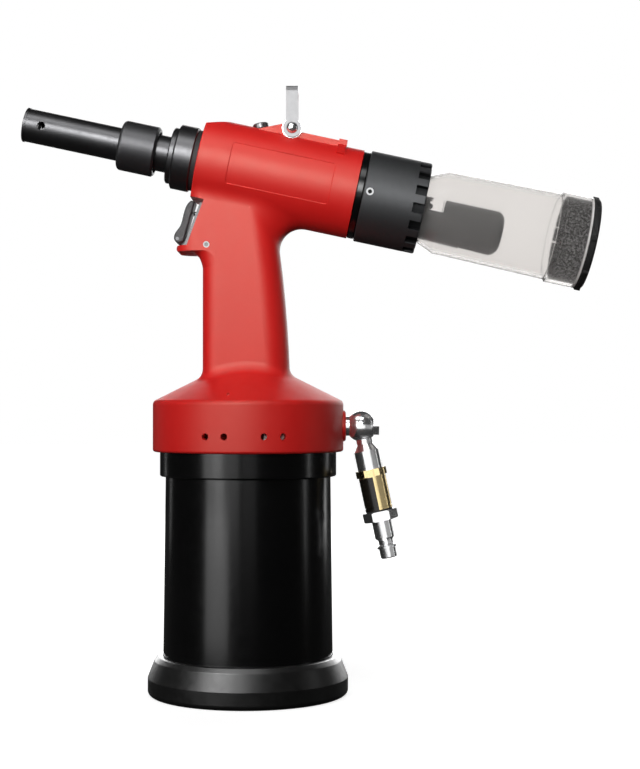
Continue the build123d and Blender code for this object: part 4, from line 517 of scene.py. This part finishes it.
def seen_directly(tree):
    """Factor that is one for camera and transmission rays, and a share for mirrored ones."""
    path = tree.nodes.new("ShaderNodeLightPath").outputs
    direct = combine(tree, "MAXIMUM", path["Is Camera Ray"], path["Is Transmission Ray"])
    mirrored = combine(tree, "MULTIPLY", path["Is Glossy Ray"], MIRRORED_SHARE)
    return combine(tree, "MAXIMUM", direct, mirrored)


def show(tree, other, seen, output):
    """Sends one shader to the output for rays that see it directly, and another for the rest."""
    mix = tree.nodes.new("ShaderNodeMixShader")
    tree.links.new(seen_directly(tree), mix.inputs["Fac"])
    tree.links.new(other.outputs[0], mix.inputs[1])
    tree.links.new(seen.outputs[0], mix.inputs[2])
    tree.links.new(mix.outputs[0], output.inputs["Surface"])


def add_world():
    """White where it is seen directly or through the bottle, dim for the light it gives."""
    world = bpy.data.worlds.new("world")
    world.use_nodes = True
    scene.world = world
    tree = world.node_tree
    tree.nodes.clear()
    output = tree.nodes.new("ShaderNodeOutputWorld")
    seen = tree.nodes.new("ShaderNodeBackground")
    seen.inputs["Color"].default_value = WHITE
    seen.inputs["Strength"].default_value = 1.0
    other = tree.nodes.new("ShaderNodeBackground")
    other.inputs["Color"].default_value = WHITE
    other.inputs["Strength"].default_value = WORLD_LIGHT
    show(tree, other, seen, output)


def floor_material():
    """Pale floor that stays white away from the tool and keeps its contact shadow."""
    material = bpy.data.materials.new("floor")
    material.use_nodes = True
    tree = material.node_tree
    tree.nodes.clear()
    output = tree.nodes.new("ShaderNodeOutputMaterial")
    reach = vector_step(tree, "LENGTH", own_place(tree))["Value"]
    diffuse = tree.nodes.new("ShaderNodeBsdfDiffuse")
    diffuse.inputs["Color"].default_value = FLOOR_COLOUR
    glow = tree.nodes.new("ShaderNodeEmission")
    tree.links.new(remap(tree, reach, *GLOW_REACH, *GLOW_STRENGTH), glow.inputs["Strength"])
    together = tree.nodes.new("ShaderNodeAddShader")
    tree.links.new(diffuse.outputs[0], together.inputs[0])
    tree.links.new(glow.outputs[0], together.inputs[1])
    plain = tree.nodes.new("ShaderNodeBsdfDiffuse")
    plain.inputs["Color"].default_value = UNSEEN_FLOOR_COLOUR
    show(tree, plain, together, output)
    return material


def add_floor():
    """One large square under the tool."""
    half = FLOOR_HALF
    corners = [(-half, -half, 0.0), (half, -half, 0.0), (half, half, 0.0), (-half, half, 0.0)]
    mesh = bpy.data.meshes.new("floor")
    mesh.from_pydata(corners, [], [(0, 1, 2, 3)])
    floor = bpy.data.objects.new("floor", mesh)
    scene.collection.objects.link(floor)
    mesh.materials.append(floor_material())


add_world()
add_floor()


# Lamps

TOOL = Vector((0.03, 0.0, 0.20))
HEAD = Vector((0.02, 0.0, 0.306))
INLET = Vector((0.09, 0.0, 0.12))
BASE = Vector((0.0, 0.0, 0.051))
BOOT = Vector((0.0, 0.0, 0.02))
BAIL = Vector((0.0, 0.0, 0.32))
INLET_PIECES = ("swivel_body", "banjo_bolt", "limiter_body", "hose_nipple", "port_washer")
BRIGHT_PIECES = ("bail", "trigger_plate", "collar_screws", "valve_lock_screw")


class Lamp(NamedTuple):
    """Area lamp at a direction in degrees and a distance from its target, in metres.

    Azimuth 0 is the camera's side, and minus is left. A lamp with pieces in only shines on them alone,
    and one with pieces in without shines on all but them.
    """

    name: str
    azimuth: float
    elevation: float
    distance: float
    size: tuple
    radiance: float
    target: Vector = TOOL
    spread: float = 180.0
    only: tuple = ()
    without: tuple = ()


LAMPS = (
    Lamp("key", -44.0, 14.0, 1.5, (0.70, 1.10), 2.25),
    Lamp("front_low", -27.0, 4.0, 1.6, (0.95, 0.60), 1.05),
    Lamp("head_light", -8.0, 17.0, 0.75, (0.42, 0.36), 22.0, HEAD, spread=36.0, without=BRIGHT_PIECES),
    Lamp("front_fill", 3.0, -2.0, 1.6, (0.50, 0.50), 0.35),
    Lamp("high", -20.0, 60.0, 1.1, (1.00, 0.40), 2.9, without=("bail",)),
    Lamp("inlet_front", -8.0, -4.0, 0.45, (0.62, 0.26), 1.2, INLET, only=INLET_PIECES),
    Lamp("inlet_right", 58.0, -4.0, 0.45, (0.46, 0.26), 0.32, INLET, only=INLET_PIECES),
    Lamp("cylinder_low", -37.0, 0.0, 0.26, (0.14, 0.10), 1.2, BASE, only=("air_cylinder",)),
    Lamp("boot_left", -36.0, 42.0, 0.60, (0.30, 0.24), 8.5, BOOT, only=("base_boot",)),
    Lamp("boot_edge_left", -160.0, 14.0, 0.50, (0.34, 0.24), 5.0, BOOT, only=("base_boot",)),
    Lamp("boot_edge_right", 160.0, 14.0, 0.50, (0.34, 0.24), 5.0, BOOT, only=("base_boot",)),
    Lamp("bail_front", -4.0, 10.0, 0.60, (0.70, 0.45), 1.0, BAIL, only=BRIGHT_PIECES),
    Lamp("bail_high", -4.0, 75.0, 0.60, (0.70, 0.80), 0.40, BAIL, only=("bail",)),
    Lamp("right_strip", 86.0, 5.0, 1.2, (0.06, 0.90), 2.5),
    Lamp("right_rim", 135.0, 10.0, 1.2, (0.20, 1.00), 1.8),
    Lamp("left_rim", -130.0, 10.0, 1.2, (0.08, 1.00), 0.8),
    Lamp("back", 172.0, 18.0, 1.4, (1.40, 0.90), 2.6),
)


def limit_lamp(lamp, only, without):
    """Makes a lamp shine on some pieces alone, or on all but some."""
    chosen = bpy.data.collections.new(lamp.name)
    for piece in only or without:
        chosen.objects.link(nodes[piece])
    lamp.light_linking.receiver_collection = chosen
    if without:
        for item in chosen.collection_objects:
            item.light_linking.link_state = "EXCLUDE"


def add_lamp(row):
    """Adds a lamp of a row's radiance, whatever its size and spread; no ray of the camera sees it."""
    turn = math.radians(row.azimuth)
    rise = math.radians(row.elevation)
    way = Vector((math.sin(turn) * math.cos(rise), -math.cos(turn) * math.cos(rise), math.sin(rise)))
    data = bpy.data.lights.new(row.name, "AREA")
    data.shape = "RECTANGLE"
    data.size, data.size_y = row.size
    data.spread = math.radians(row.spread)
    half = data.spread / 2
    data.energy = row.radiance * math.pi * row.size[0] * row.size[1] * (1 - half / math.tan(half))
    lamp = bpy.data.objects.new(row.name, data)
    lamp.location = row.target + way * row.distance
    lamp.rotation_euler = (-way).to_track_quat("-Z", "Y").to_euler()
    lamp.visible_camera = False
    lamp.visible_transmission = False
    scene.collection.objects.link(lamp)
    if row.only or row.without:
        limit_lamp(lamp, row.only, row.without)


for lamp_row in LAMPS:
    add_lamp(lamp_row)


scene.view_settings.view_transform = "Standard"
